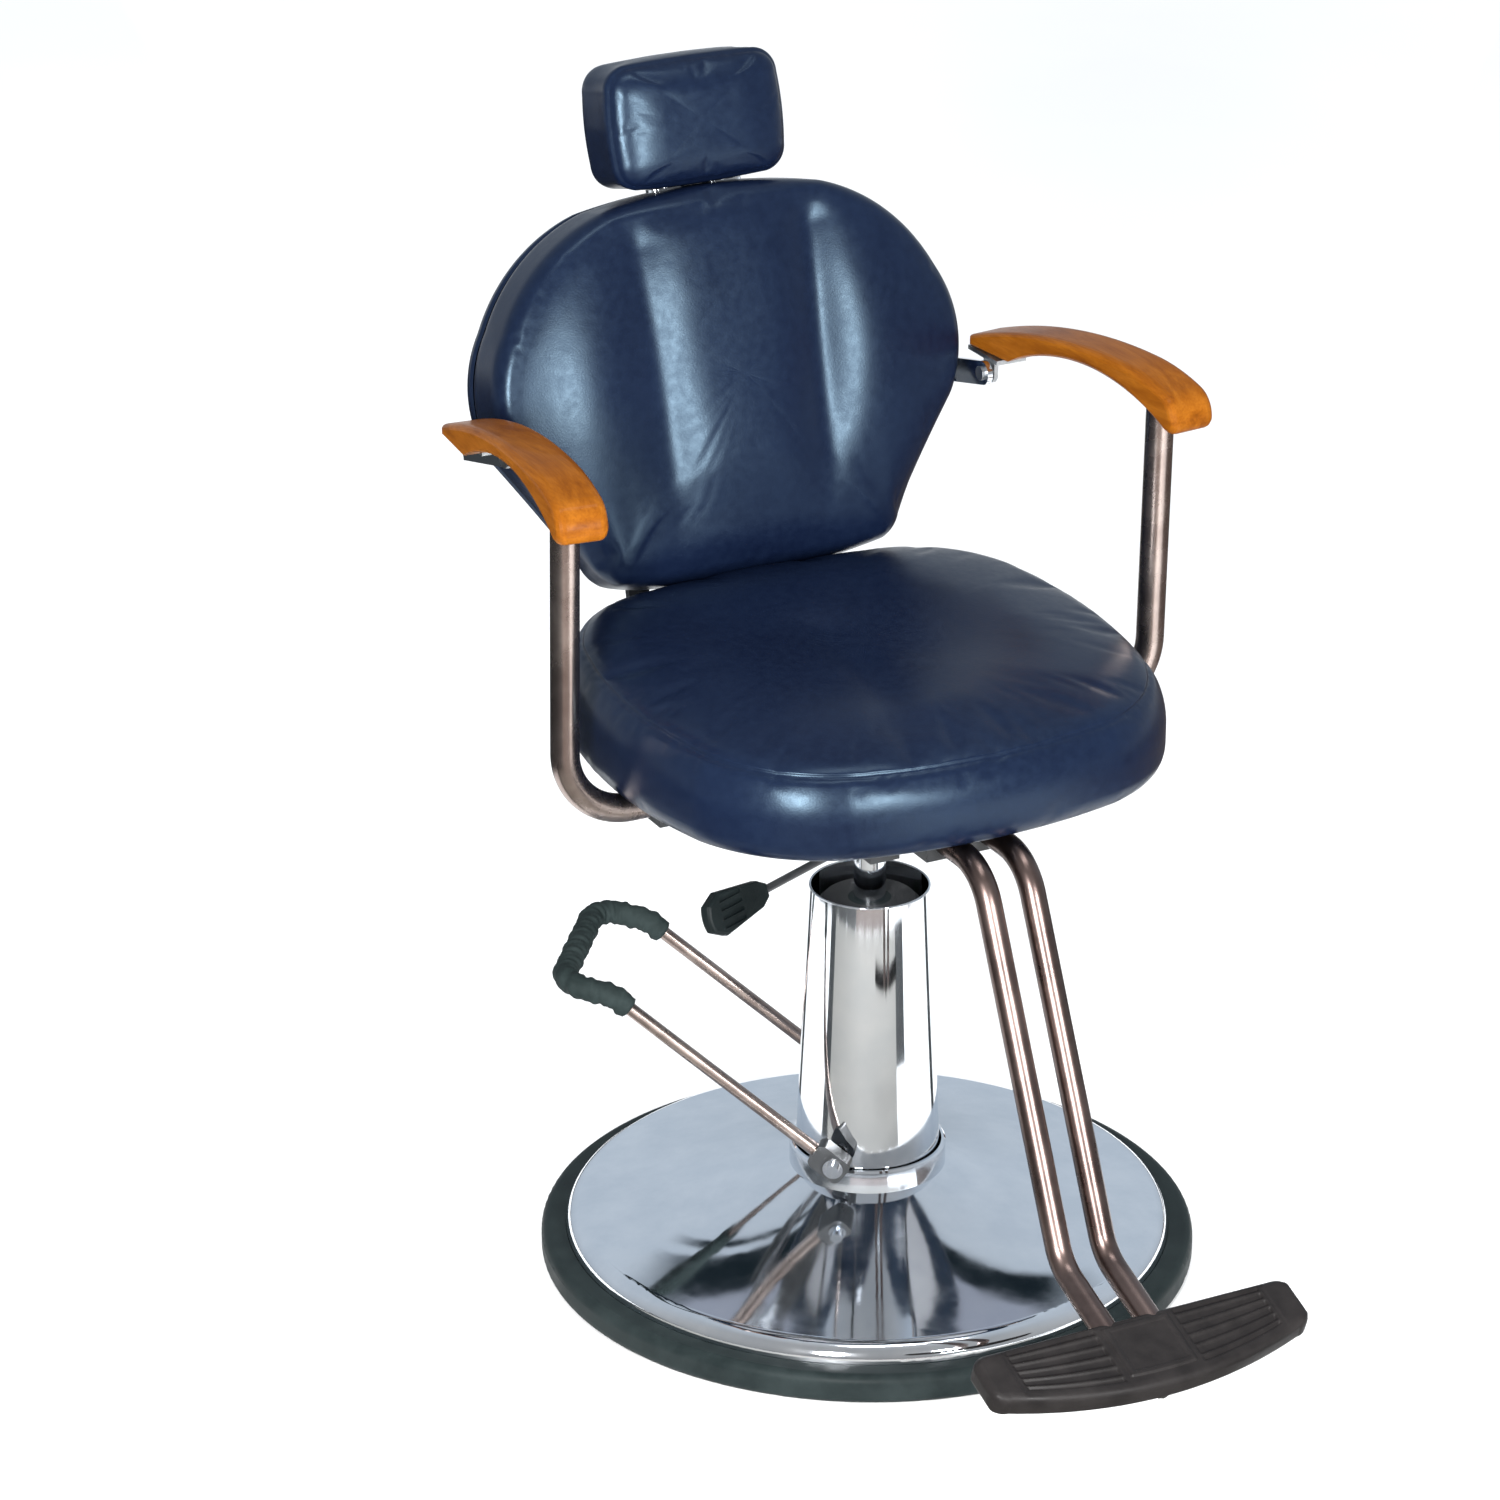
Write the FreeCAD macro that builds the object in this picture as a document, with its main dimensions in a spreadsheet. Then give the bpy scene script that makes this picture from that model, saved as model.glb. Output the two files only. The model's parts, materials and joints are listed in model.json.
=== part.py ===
import FreeCAD, Part
import math
import os

import Sketcher

# A hydraulic reclining barber chair on a round base, in millimetres.
# +Z is up, the sitter faces -Y, and the origin is the centre of the base on the floor.

V = FreeCAD.Vector
doc = FreeCAD.newDocument("BarberChair")
sheet = doc.addObject("Spreadsheet::Sheet", "Sizes")

# Every size of the chair: its name, its value and what it measures.
SIZES = [
    # Round base
    ("base_radius", 291, "outer radius of the rubber ring"),
    ("ring_height", 27, "height of the rubber ring"),
    ("ring_width", 26, "radial width of the rubber ring"),
    ("ring_round", 8, "rounding of the ring's outer edge"),
    ("plate_thickness", 11, "steel base plate"),
    ("cover_sheet", 2, "sheet of the chrome base cover"),
    ("lip_height", 17, "rolled lip of the cover above the ring"),
    ("lip_width", 16, "radial width of the rolled lip"),
    ("cover_rise", 42, "rise of the cover from its lip to the collar"),
    ("cover_flare", 5, "sag of the cover's side below a straight cone"),
    ("collar_radius", 69.5, "outer radius of the chrome collar"),
    ("collar_height", 21, "height of the collar"),
    ("column_foot_radius", 65.5, "outer radius of the column cover at its foot"),
    ("column_top_radius", 53, "outer radius of the column cover at its rim"),
    ("column_height", 269, "height of the column cover"),
    ("column_sheet", 1.6, "sheet of the column cover"),
    ("cover_hole_radius", 57, "radius of the hole in the middle of the base cover"),
    ("seat_gap", 0.3, "small gap between pieces that rest on each other"),
    ("slip", 0.05, "radial clearance of a running fit"),
    # Pump
    ("block_radius", 52, "radius of the cast pump block"),
    ("block_height", 114, "height of the block above its flange"),
    ("flange_radius", 72, "radius of the block's flange"),
    ("flange_height", 12, "thickness of the flange"),
    ("bolt_circle", 62, "radius of the flange bolts' circle"),
    ("bolt_radius", 5, "radius of a flange bolt"),
    ("bolt_head_radius", 8.5, "radius of a bolt head"),
    ("bolt_head_height", 6, "height of a bolt head"),
    ("cylinder_radius", 30, "outer radius of the lift cylinder"),
    ("cylinder_bore", 24, "bore radius of the lift cylinder"),
    ("cylinder_length", 183, "length of the lift cylinder"),
    ("tank_radius", 43, "outer radius of the oil tank round the cylinder"),
    ("tank_wall", 2.5, "wall of the oil tank"),
    ("gland_height", 22, "height of the guide on top of the cylinder"),
    ("gland_radius", 45, "radius of the guide"),
    ("wiper_height", 5, "height of the rubber wiper on the guide"),
    ("wiper_width", 5, "radial width of the wiper"),
    ("ram_radius", 14, "radius of the lift ram"),
    ("ram_exposed", 132, "length of the lift ram above its guide at rest"),
    ("piston_height", 30, "height of the piston"),
    ("piston_lift", 3, "gap under the piston at rest"),
    ("piston_seal_width", 4, "radial depth of the piston's seal groove"),
    ("piston_seal_height", 6, "height of the piston's seal"),
    ("ram_seat_depth", 20, "depth of the ram in the piston"),
    # Pump lever
    ("shaft_height", 118, "height of the lever's cross shaft"),
    ("shaft_offset", 17, "cross shaft's distance from the column's axis"),
    ("shaft_radius", 8, "radius of the cross shaft"),
    ("lever_heading", 142.7, "direction of the lever about +Z, in degrees"),
    ("lever_arm_gap", 79, "distance of each lever arm from the middle"),
    ("lever_reach", 197, "horizontal reach of the sloping arms"),
    ("lever_climb", 148, "rise of the sloping arms"),
    ("lever_tip_reach", 46, "reach of the near level tip"),
    ("lever_tip_climb", 8, "rise of the near level tip"),
    ("lever_rod_radius", 6, "radius of the lever's rod"),
    ("lever_corner_radius", 24, "bend radius at the corners of the tip"),
    ("lever_bend_radius", 40, "bend radius between arms and tip"),
    ("grip_radius", 10.5, "outer radius of the lever's grip"),
    ("clamp_length", 34, "length of the clamp on each end of the shaft"),
    ("clamp_width", 24, "width of the clamp"),
    ("clamp_depth", 17, "depth of the clamp along the shaft"),
    ("clamp_bolt_radius", 4, "radius of the clamp bolt"),
    ("clamp_washer_radius", 9, "radius of the washer under its head"),
    ("clamp_washer_height", 2, "thickness of that washer"),
    ("clamp_head_height", 5, "height of that bolt's head"),
    ("nose_reach", 22, "distance of the pressing nose from the shaft's axis"),
    ("nose_radius", 6, "radius of the pressing nose"),
    ("nose_width", 16, "width of the pressing nose"),
    ("lever_swing", 30, "travel of the pump lever, in degrees"),
    ("plunger_radius", 8, "radius of the pump plunger"),
    ("plunger_length", 44, "length of the plunger's stem"),
    ("plunger_cap_radius", 10.5, "radius of the plunger's spring cap"),
    ("plunger_cap_height", 4, "height of the spring cap"),
    ("spring_wall", 2.2, "thickness of the plunger's spring"),
    ("spring_length", 26, "length of the plunger's spring at rest"),
    ("pocket_clearance", 2, "clearance round the plunger and the nose in the block"),
    ("bush_wall", 2.5, "wall of the shaft's bushes"),
    ("bush_length", 12, "length of each bush"),
    # Seat
    ("seat_half_width", 243, "half the width of the seat"),
    ("seat_half_depth", 234, "half the depth of the seat"),
    ("seat_middle", 14, "distance of the seat's middle behind the column's axis"),
    ("hub_end_gap", 2, "gap between the ram's end and the plate under the seat"),
    ("board_thickness", 12, "thickness of the seat board"),
    ("board_inset", 13, "how far the board lies inside the cushion"),
    ("seat_band", 74, "height of the cushion's boxed side up to its seam"),
    ("seat_crown", 13, "rise of the cushion's crown above its seam"),
    ("seat_draw", 3, "how far the boxed side is drawn in"),
    ("seat_rise_angle", 2.5, "rise of the seat's top to the rear, in degrees"),
    ("hub_radius", 25, "radius of the socket on the ram"),
    ("hub_length", 50, "length of the socket"),
    ("hub_plate_half_width", 100, "half the width of the plate under the seat"),
    ("hub_plate_half_depth", 110, "half the depth of that plate"),
    ("hub_plate_thickness", 6, "thickness of that plate"),
    ("hub_bolt_inset", 14, "distance of its bolts from its edges"),
    ("hub_bolt_radius", 4, "radius of its bolts"),
    # Back
    ("back_foot_inset", 36, "where the back's front face meets the seat, in front of its rear end"),
    ("back_foot_rise", 10, "height of that line above the seat's seam"),
    ("back_lean", 14, "lean of the back, in degrees"),
    ("back_half_width", 230, "half the width of the back"),
    ("back_height", 338, "height of the back along its lean"),
    ("back_gap", 10, "gap between the seat and the back's lower edge"),
    ("back_cushion", 62, "thickness of the back cushion at its seam"),
    ("back_crown", 14, "crown of the back cushion in front of its seam"),
    ("back_draw", 3, "how far its side is drawn in"),
    ("back_board", 10, "thickness of the back's board"),
    ("back_board_inset", 14, "how far that board lies inside the cushion"),
    ("rear_pad", 15, "thickness of the padded rear panel"),
    ("channel_offset", 84, "distance of each vertical channel from the middle"),
    ("channel_radius", 12, "radius of the channel's section"),
    ("channel_depth", 4, "depth of the channel in the crown"),
    # Back hinge and bars
    ("hinge_inset", 18, "back hinge in front of the seat's rear end"),
    ("hinge_drop", 52, "back hinge below the seat board"),
    ("recline_travel", 35, "travel of the back, in degrees"),
    ("hinge_shaft_radius", 8, "radius of the back's cross shaft"),
    ("hinge_shaft_half", 102, "half the length of that shaft"),
    ("bar_middle", 78, "distance of each back bar from the middle"),
    ("bar_width", 20, "width of a back bar"),
    ("bar_thickness", 8, "thickness of a back bar"),
    ("bar_climb", 190, "how far a back bar climbs the rear panel"),
    ("bar_eye_radius", 16, "radius of the bar's eye"),
    ("ear_gap", 2, "gap between a bar and a bracket ear"),
    ("ear_thickness", 6, "thickness of a bracket ear"),
    ("ear_radius", 14, "radius of a bracket ear round the shaft"),
    ("bracket_reach", 112, "front end of a hinge bracket, in front of the hinge"),
    ("bracket_setback", 40, "rear end of its flange, in front of the hinge"),
    ("bracket_flange", 5, "thickness of that flange"),
    ("bar_bolt_radius", 4, "radius of a bar bolt"),
    ("bar_bolt_head", 8, "radius of its domed head"),
    ("bar_bolt_height", 5, "height of its head"),
    ("bar_bolt_low", 70, "height of the lower bar bolts along the back"),
    ("bar_bolt_high", 165, "height of the upper bar bolts along the back"),
    ("bar_knee", 35, "bar's knee below the back's foot"),
    # Lock of the back
    ("lock_offset", 40, "distance of the lock from the middle"),
    ("crank_length", 38, "length of the crank on the back's shaft"),
    ("crank_thickness", 6, "thickness of the crank"),
    ("crank_pin_radius", 4, "radius of the crank's pin"),
    ("eye_slot_clearance", 0.25, "clearance of the pin across the eye's slot"),
    ("eye_slot_reach", 2.6, "clearance of the pin along the eye's slot"),
    ("eye_radius", 11, "radius of the lock rod's eye"),
    ("eye_thickness", 8, "thickness of the eye"),
    ("lock_rod_radius", 5, "radius of the lock rod"),
    ("lock_rod_engaged", 110, "length of the rod inside the housing"),
    ("lock_housing_radius", 13, "radius of the lock housing"),
    ("lock_housing_length", 150, "length of the lock housing"),
    ("lock_setback", 70, "rear end of the lock housing, in front of the hinge"),
    ("lock_hanger_width", 16, "length of a hanger of the lock housing"),
    ("lock_hanger_thickness", 8, "thickness of a hanger"),
    ("lock_hanger_inset", 20, "front hanger, behind the housing's front end"),
    ("lock_hanger_setback", 80, "rear hanger, in front of the housing's rear end"),
    ("lock_bore_radius", 9, "bore radius of the lock housing"),
    ("lock_end_wall", 8, "length of the guide at the housing's rear end"),
    ("lock_piston_length", 10, "length of the piston on the lock rod"),
    ("valve_length", 40, "length of the lock's valve head"),
    ("valve_gap", 70, "distance of the valve head in front of the lock housing"),
    ("valve_pipe_radius", 3.5, "radius of the pipe between them"),
    ("valve_pipe_inset", 10, "place of the pipe's end behind the housing's front end"),
    ("valve_half_width", 14, "half the width of the valve head"),
    # Release lever
    ("release_setback", 15, "release lever's pivot in front of the valve head's rear"),
    ("release_heading", 24.5, "turn of the release lever from -X, in degrees"),
    ("release_rod_radius", 3.5, "radius of the release rod"),
    ("release_rod_length", 108, "length of the bare release rod"),
    ("release_drop", 48, "release lever's pivot below the seat board"),
    ("release_hub_radius", 8, "radius of the release lever's hub"),
    ("release_pin_radius", 3, "radius of its pin"),
    ("release_cheek", 4, "thickness of each cheek beside the hub"),
    ("release_hub_width", 10, "width of that hub"),
    ("paddle_length", 76, "length of the paddle"),
    ("paddle_neck", 6, "half the width of the paddle at its neck"),
    ("paddle_tip", 19, "half the width of the paddle at its tip"),
    ("paddle_thickness", 11, "thickness of the paddle"),
    ("paddle_groove", 2, "depth of the paddle's grooves"),
    ("paddle_groove_width", 3, "width of a groove"),
    ("paddle_tilt", 72, "turn of the paddle about its rod, in degrees"),
    # Posts and armrests
    ("post_gap", 43, "distance of each post from the seat's side"),
    ("post_radius", 12.5, "radius of a post"),
    ("post_wall", 2, "wall of a post's tube"),
    ("post_bend", 62, "bend radius of a post"),
    ("post_pivot_depth", 14, "post pivot behind the axis"),
    ("post_pivot_drop", 14, "post pivot below the seat board"),
    ("post_top_shift", 8, "how far forward the post's top leans"),
    ("post_rise", 288, "height of the arm pivot above the post pivot"),
    ("post_overhang", 10, "length of the post inside of its bearing"),
    ("bearing_hub_gap", 22, "gap between the hub's plate and a post bearing"),
    ("bearing_inset", 37, "outer end of a post bearing inside of the seat's side"),
    ("bearing_half_depth", 19, "half the depth of a post bearing"),
    ("bearing_wall", 4, "metal below the bearing's bore"),
    ("arm_width", 46, "width of an armrest"),
    ("arm_splay", 6, "splay of an armrest, in degrees"),
    ("arm_front", 48, "front of an armrest in front of the post's top"),
    ("arm_rear", 42, "rear of an armrest behind its rear pivot"),
    ("arm_peak", 27, "height of the arch above the post's pivot"),
    ("arm_rear_top", 15, "top of the rear end below the post's pivot"),
    ("arm_rear_bottom", 24, "bottom of the rear end below the post's pivot"),
    ("arm_front_bottom", 20, "bottom of the front below the post's pivot"),
    ("arm_round", 7, "rounding of the armrest's edges"),
    ("arm_pocket_clearance", 0.8, "clearance of the post in the armrest"),
    ("arm_ear_thickness", 4, "thickness of the plate under an armrest's rear"),
    ("arm_ear_length", 52, "length of that plate"),
    ("arm_ear_width", 30, "width of that plate"),
    ("arm_ear_gap", 2, "gap between that bar and the plate's ear"),
    ("arm_flat", 58, "length of the flat under an armrest's rear"),
    ("arm_ear_radius", 10, "radius of its eye"),
    ("arm_pin_radius", 4, "radius of the rear arm pin"),
    ("arm_bar_height", 22, "height of the bar from the back to the arm"),
    ("arm_bar_thickness", 5, "thickness of that bar"),
    ("arm_bar_reach", 100, "length of that bar behind the back"),
    ("arm_bar_gap", 1, "gap between the back's side and that bar"),
    ("arm_pin_head", 3, "height of the rear arm pin's head"),
    # Headrest
    ("head_half_width", 86, "half the width of the headrest"),
    ("head_half_height", 56, "half the height of the headrest"),
    ("head_thickness", 62, "thickness of the headrest at its seam"),
    ("head_crown", 9, "crown of the headrest in front of its seam"),
    ("head_front", 18, "headrest's front seam behind the back's front seam"),
    ("head_gap", 3, "gap between the headrest and the back"),
    ("head_rod_radius", 5, "radius of a headrest rod"),
    ("head_rod_offset", 28, "distance of each rod from the middle"),
    ("head_rod_depth", 44, "rod's distance behind the back's front seam"),
    ("head_rod_inside", 60, "length of a rod inside the headrest"),
    ("head_rod_below", 128, "length of a rod below the back's top"),
    ("head_travel", 65, "travel of the headrest"),
    ("sleeve_radius", 8, "outer radius of a rod's sleeve"),
    ("sleeve_length", 55, "length of a rod's sleeve"),
    ("sleeve_collar_half", 18, "half the length of a sleeve's oval collar"),
    ("sleeve_collar_radius", 9, "half the width of that collar"),
    ("sleeve_collar_height", 3.5, "height of that collar"),
    ("sleeve_sink", 2, "how far a sleeve's collar stands below the back's peak"),
    # Footrest
    ("foot_tube_radius", 11, "radius of a footrest tube"),
    ("foot_tube_wall", 2, "wall of a footrest tube"),
    ("foot_tube_offset", 21, "distance of each tube from the middle"),
    ("foot_tube_drop", 15, "axis of the tubes below the seat board"),
    ("foot_tube_inset", 92, "rear end of the tubes behind the seat's front"),
    ("foot_bend_gap", 12, "upper bend in front of the seat"),
    ("foot_knee_reach", 144, "lower bend in front of the upper bend"),
    ("foot_knee_drop", 303, "lower bend below the tubes under the seat"),
    ("foot_bend_radius", 48, "bend radius of the upper bend"),
    ("foot_knee_radius", 42, "bend radius of the lower bend"),
    ("foot_end_length", 75, "length of the tubes from the lower bend to the treadle"),
    ("treadle_slope", 20, "slope of the treadle, in degrees"),
    ("treadle_panel_rise", 2, "rise of its middle panel"),
    ("treadle_bumper_radius", 7, "radius of the bumper under the treadle"),
    ("treadle_bumper_height", 6, "height of that bumper"),
    ("treadle_half", 151, "half the width of the treadle"),
    ("treadle_middle_depth", 76, "depth of the treadle at its middle"),
    ("treadle_end_depth", 50, "depth of the treadle at its ends"),
    ("treadle_thickness", 22, "thickness of the treadle"),
    ("treadle_round", 7, "rounding of the treadle's edges"),
    ("treadle_groove_depth", 2, "depth of its grooves"),
    ("treadle_groove_width", 4, "width of a groove"),
    ("treadle_groove_pitch", 9, "distance from groove to groove"),
    ("treadle_panel_half", 30, "half the width of its middle panel"),
    ("treadle_end_margin", 24, "plain length at each end of the treadle"),
    ("treadle_socket", 24, "how far the tubes enter the treadle"),
    ("clamp_block_half", 40, "half the width of the footrest clamp"),
    ("clamp_block_length", 44, "length of the footrest clamp"),
    ("clamp_block_drop", 15, "metal of the clamp below the tubes' axis"),
]

# Sizes that follow from others: name, formula and meaning
FOLLOWING = [
    ("ram_length", "cylinder_length + gland_height + ram_exposed - piston_lift"
     " - piston_height + ram_seat_depth", "length of the lift ram"),
    ("seat_underside", "plate_thickness + flange_height + block_height + piston_lift"
     " + piston_height - ram_seat_depth + ram_length + hub_end_gap + hub_plate_thickness",
     "height of the seat board's underside"),
    ("seat_front", "seat_half_depth - seat_middle", "seat's front, in front of the axis"),
    ("seat_rear", "seat_half_depth + seat_middle", "seat's rear end, behind the axis"),
    ("bearing_inner", "hub_plate_half_width + bearing_hub_gap", "inner end of a post bearing"),
    ("bearing_outer", "seat_half_width - bearing_inset", "outer end of a post bearing"),
    ("post_offset", "seat_half_width + post_gap", "distance of each post from the middle"),
    ("post_pivot_height", "seat_underside - post_pivot_drop", "height of the post pivot"),
    ("post_inner_end", "bearing_inner - post_overhang", "inner end of the post's level leg"),
    ("back_foot_depth", "seat_rear - back_foot_inset",
     "where the back's front face meets the seat, behind the axis"),
    ("back_foot_height", "seat_underside + board_thickness + seat_band + back_foot_rise",
     "height of that line"),
    ("hinge_depth", "seat_rear - hinge_inset", "back hinge's distance behind the axis"),
    ("hinge_height", "seat_underside - hinge_drop", "height of the back hinge"),
    ("bracket_front", "hinge_depth - bracket_reach", "front end of a hinge bracket"),
    ("bracket_rear", "hinge_depth - bracket_setback", "rear end of its flange"),
    ("lock_housing_rear", "hinge_depth - lock_setback", "rear end of the lock housing"),
    ("lock_housing_front", "lock_housing_rear - lock_housing_length",
     "front end of the lock housing"),
    ("lock_hanger_front", "lock_housing_front + lock_hanger_inset", "front hanger"),
    ("lock_hanger_rear", "lock_housing_rear - lock_hanger_setback", "rear hanger"),
    ("release_depth", "release_setback + valve_gap - lock_housing_front",
     "release lever's pivot in front of the axis"),
    ("release_height", "seat_underside - release_drop", "height of the release lever's pivot"),
    ("arm_bar_inner", "back_half_width - arm_bar_reach", "inner end of the bar to the arm"),
    ("arm_bar_offset", "back_half_width + arm_bar_gap", "inner side of that bar beside the back"),
    ("arm_ear_offset", "arm_bar_offset + arm_bar_thickness + arm_ear_gap",
     "inner side of the ear under the armrest"),
    ("foot_tube_height", "seat_underside - foot_tube_drop", "height of the footrest's tubes"),
    ("foot_tube_rear", "seat_front - foot_tube_inset", "rear end of the tubes"),
    ("foot_bend_front", "seat_front + foot_bend_gap", "upper bend in front of the axis"),
    ("foot_knee_front", "foot_bend_front + foot_knee_reach", "lower bend in front of the axis"),
    ("foot_knee_height", "foot_tube_height - foot_knee_drop", "height of the lower bend"),
    ("clamp_block_front", "foot_tube_rear + clamp_block_length", "front of the footrest clamp"),
]

# Shares that shape outlines, with no length of their own
round_share = 1 - math.sqrt(0.5)
# End of the side, middle of the corner and end of the top, as shares of the half sizes
seat_shares = [(0.930, 0.528), (0.774, 0.774), (0.528, 0.930)]
head_shares = [(0.980, 0.560), (0.902, 0.855), (0.700, 0.975)]


class Size:
    """A number worked out from the sheet, with the expression that binds a property to it."""

    def __init__(self, value, text):
        self.value = value
        self.text = text

    def __add__(self, other):
        return joined(self, "+", other)

    def __radd__(self, other):
        return joined(other, "+", self)

    def __sub__(self, other):
        return joined(self, "-", other)

    def __rsub__(self, other):
        return joined(other, "-", self)

    def __mul__(self, other):
        return joined(self, "*", other)

    def __rmul__(self, other):
        return joined(other, "*", self)

    def __truediv__(self, other):
        return joined(self, "/", other)

    def __neg__(self):
        return joined(0, "-", self)

    def __float__(self):
        return float(self.value)


def as_size(number):
    if isinstance(number, Size):
        return number
    return Size(float(number), "(%r)" % float(number))


def joined(left, sign, right):
    left = as_size(left)
    right = as_size(right)
    if sign == "+":
        value = left.value + right.value
    elif sign == "-":
        value = left.value - right.value
    elif sign == "*":
        value = left.value * right.value
    else:
        value = left.value / right.value
    return Size(value, "(%s %s %s)" % (left.text, sign, right.text))


def sine(angle):
    return Size(math.sin(math.radians(angle.value)), "sin(%s * 1deg)" % angle.text)


def cosine(angle):
    return Size(math.cos(math.radians(angle.value)), "cos(%s * 1deg)" % angle.text)


quarter_turn = Size(90.0, "90")


class Sheet:
    """The sheet's sizes by name."""


S = Sheet()
for row, (alias, value, meaning) in enumerate(SIZES + FOLLOWING, start=1):
    sheet.set("A%d" % row, meaning)
    sheet.setAlias("B%d" % row, alias)
    sheet.set("B%d" % row, "=" + value if isinstance(value, str) else str(value))
doc.recompute()
for alias, _, _ in SIZES + FOLLOWING:
    setattr(S, alias, Size(float(sheet.get(alias)), "Sizes." + alias))


# Sketches and features

def new_body(label):
    body = doc.addObject("PartDesign::Body", label)
    body.Label = label
    return body


def sketch_on(body, role, offset=0, tilt=0):
    """A sketch on one of the body's own origin planes, moved along the plane's normal."""
    plane = [feature for feature in body.Origin.OriginFeatures if feature.Role == role][0]
    sketch = body.newObject("Sketcher::SketchObject", body.Name + "_sketch")
    sketch.AttachmentSupport = [(plane, "")]
    sketch.MapMode = "FlatFace"
    turn = FreeCAD.Rotation(V(1, 0, 0), float(tilt))
    sketch.AttachmentOffset = FreeCAD.Placement(V(0, 0, float(offset)), turn)
    if isinstance(offset, Size):
        sketch.setExpression("AttachmentOffset.Base.z", offset.text)
    if isinstance(tilt, Size):
        sketch.setExpression("AttachmentOffset.Rotation.Angle", tilt.text + " * 1deg")
    return sketch


def pin_point(sketch, edge, end, x, y):
    """Hold a point of the sketch at x, y, bound to the sheet."""
    for kind, size in (("DistanceX", x), ("DistanceY", y)):
        index = sketch.addConstraint(Sketcher.Constraint(kind, -1, 1, edge, end, float(size)))
        if isinstance(size, Size):
            sketch.setExpression("Constraints[%d]" % index, size.text)


def arc_between(start, via, end):
    """An arc through three points, and whether it runs from start to end against the clock."""
    circle = Part.Circle(V(*start, 0), V(*via, 0), V(*end, 0))
    centre = circle.Center
    angles = [math.atan2(p[1] - centre.y, p[0] - centre.x) for p in (start, end)]
    turn = (via[0] - start[0]) * (end[1] - start[1]) - (via[1] - start[1]) * (end[0] - start[0])
    forward = turn > 0
    first, last = angles if forward else reversed(angles)
    if last < first:
        last += 2 * math.pi
    return Part.ArcOfCircle(Part.Circle(centre, V(0, 0, 1), circle.Radius), first, last), forward


def draw(sketch, path, closed=True):
    """Draw a path of corners (x, y), with an arc through (x, y, "via") where one stands between."""
    corners = [step for step in path if len(step) == 2]
    edges = []
    position = 0
    for index, corner in enumerate(corners):
        position = path.index(corner, position)
        if index == len(corners) - 1 and not closed:
            break
        target = corners[(index + 1) % len(corners)]
        after = path[(position + 1) % len(path)]
        start = (float(corner[0]), float(corner[1]))
        end = (float(target[0]), float(target[1]))
        if len(after) == 3:
            via = (float(after[0]), float(after[1]))
            arc, forward = arc_between(start, via, end)
            edge = sketch.addGeometry(arc, False)
            ends = (1, 2) if forward else (2, 1)
            edges.append((edge, ends, after))
        else:
            edge = sketch.addGeometry(Part.LineSegment(V(*start, 0), V(*end, 0)), False)
            edges.append((edge, (1, 2), None))
    for index, (edge, ends, _) in enumerate(edges):
        pin_point(sketch, edge, ends[0], *corners[index])
        if index + 1 < len(edges) or closed:
            following, following_ends, _ = edges[(index + 1) % len(edges)]
            joint = Sketcher.Constraint("Coincident", edge, ends[1], following, following_ends[0])
            sketch.addConstraint(joint)
        else:
            pin_point(sketch, edge, ends[1], *corners[-1])
    for edge, _, via in edges:
        if via:
            mark = sketch.addGeometry(Part.Point(V(float(via[0]), float(via[1]), 0)), True)
            pin_point(sketch, mark, 1, via[0], via[1])
            sketch.addConstraint(Sketcher.Constraint("PointOnObject", mark, 1, edge))


def circle_in(sketch, x, y, radius):
    edge = sketch.addGeometry(Part.Circle(V(float(x), float(y), 0), V(0, 0, 1), float(radius)), False)
    pin_point(sketch, edge, 3, x, y)
    index = sketch.addConstraint(Sketcher.Constraint("Radius", edge, float(radius)))
    sketch.setExpression("Constraints[%d]" % index, radius.text)


def place(piece, x=0, y=0, z=0, axis=V(1, 0, 0), turn=0):
    """Place a piece, with its position and angle bound to the sheet."""
    rotation = FreeCAD.Rotation(axis, float(turn))
    piece.Placement = FreeCAD.Placement(V(float(x), float(y), float(z)), rotation)
    for name, size in (("Base.x", x), ("Base.y", y), ("Base.z", z)):
        if isinstance(size, Size):
            piece.setExpression("Placement." + name, size.text)
    if isinstance(turn, Size):
        piece.setExpression("Placement.Rotation.Angle", turn.text + " * 1deg")
    return piece


def lathe(label, outline):
    """A turned piece: radius and height of each corner of its section."""
    body = new_body(label)
    sketch = sketch_on(body, "XZ_Plane")
    draw(sketch, outline)
    turned = body.newObject("PartDesign::Revolution", label + "_turned")
    turned.Profile = sketch
    turned.ReferenceAxis = (sketch, ["V_Axis"])
    turned.Angle = 360
    body.Tip = turned
    return body


def slab(label, role, outline, thickness, offset=0):
    """A flat piece of one thickness, from offset along the plane's normal."""
    body = new_body(label)
    sketch = sketch_on(body, role, offset)
    draw(sketch, outline)
    pad = body.newObject("PartDesign::Pad", label + "_pad")
    pad.Profile = sketch
    pad.Length = float(thickness)
    pad.setExpression("Length", thickness.text)
    body.Tip = pad
    return body


def loft(label, role, sections):
    """A soft piece through sections, each an offset, a tilt and an outline."""
    body = new_body(label)
    sketches = []
    for offset, tilt, outline in sections:
        sketch = sketch_on(body, role, offset, tilt)
        draw(sketch, outline)
        sketches.append(sketch)
    skin = body.newObject("PartDesign::AdditiveLoft", label + "_loft")
    skin.Profile = sketches[0]
    skin.Sections = sketches[1:]
    skin.Ruled = True
    body.Tip = skin
    return body


def cylinder(label, radius, length, x=0, y=0, z=0, axis=V(1, 0, 0), turn=0):
    piece = doc.addObject("Part::Cylinder", label)
    piece.Label = label
    piece.Radius = float(radius)
    piece.Height = float(length)
    piece.setExpression("Radius", as_size(radius).text)
    piece.setExpression("Height", as_size(length).text)
    return place(piece, x, y, z, axis, turn)


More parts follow.
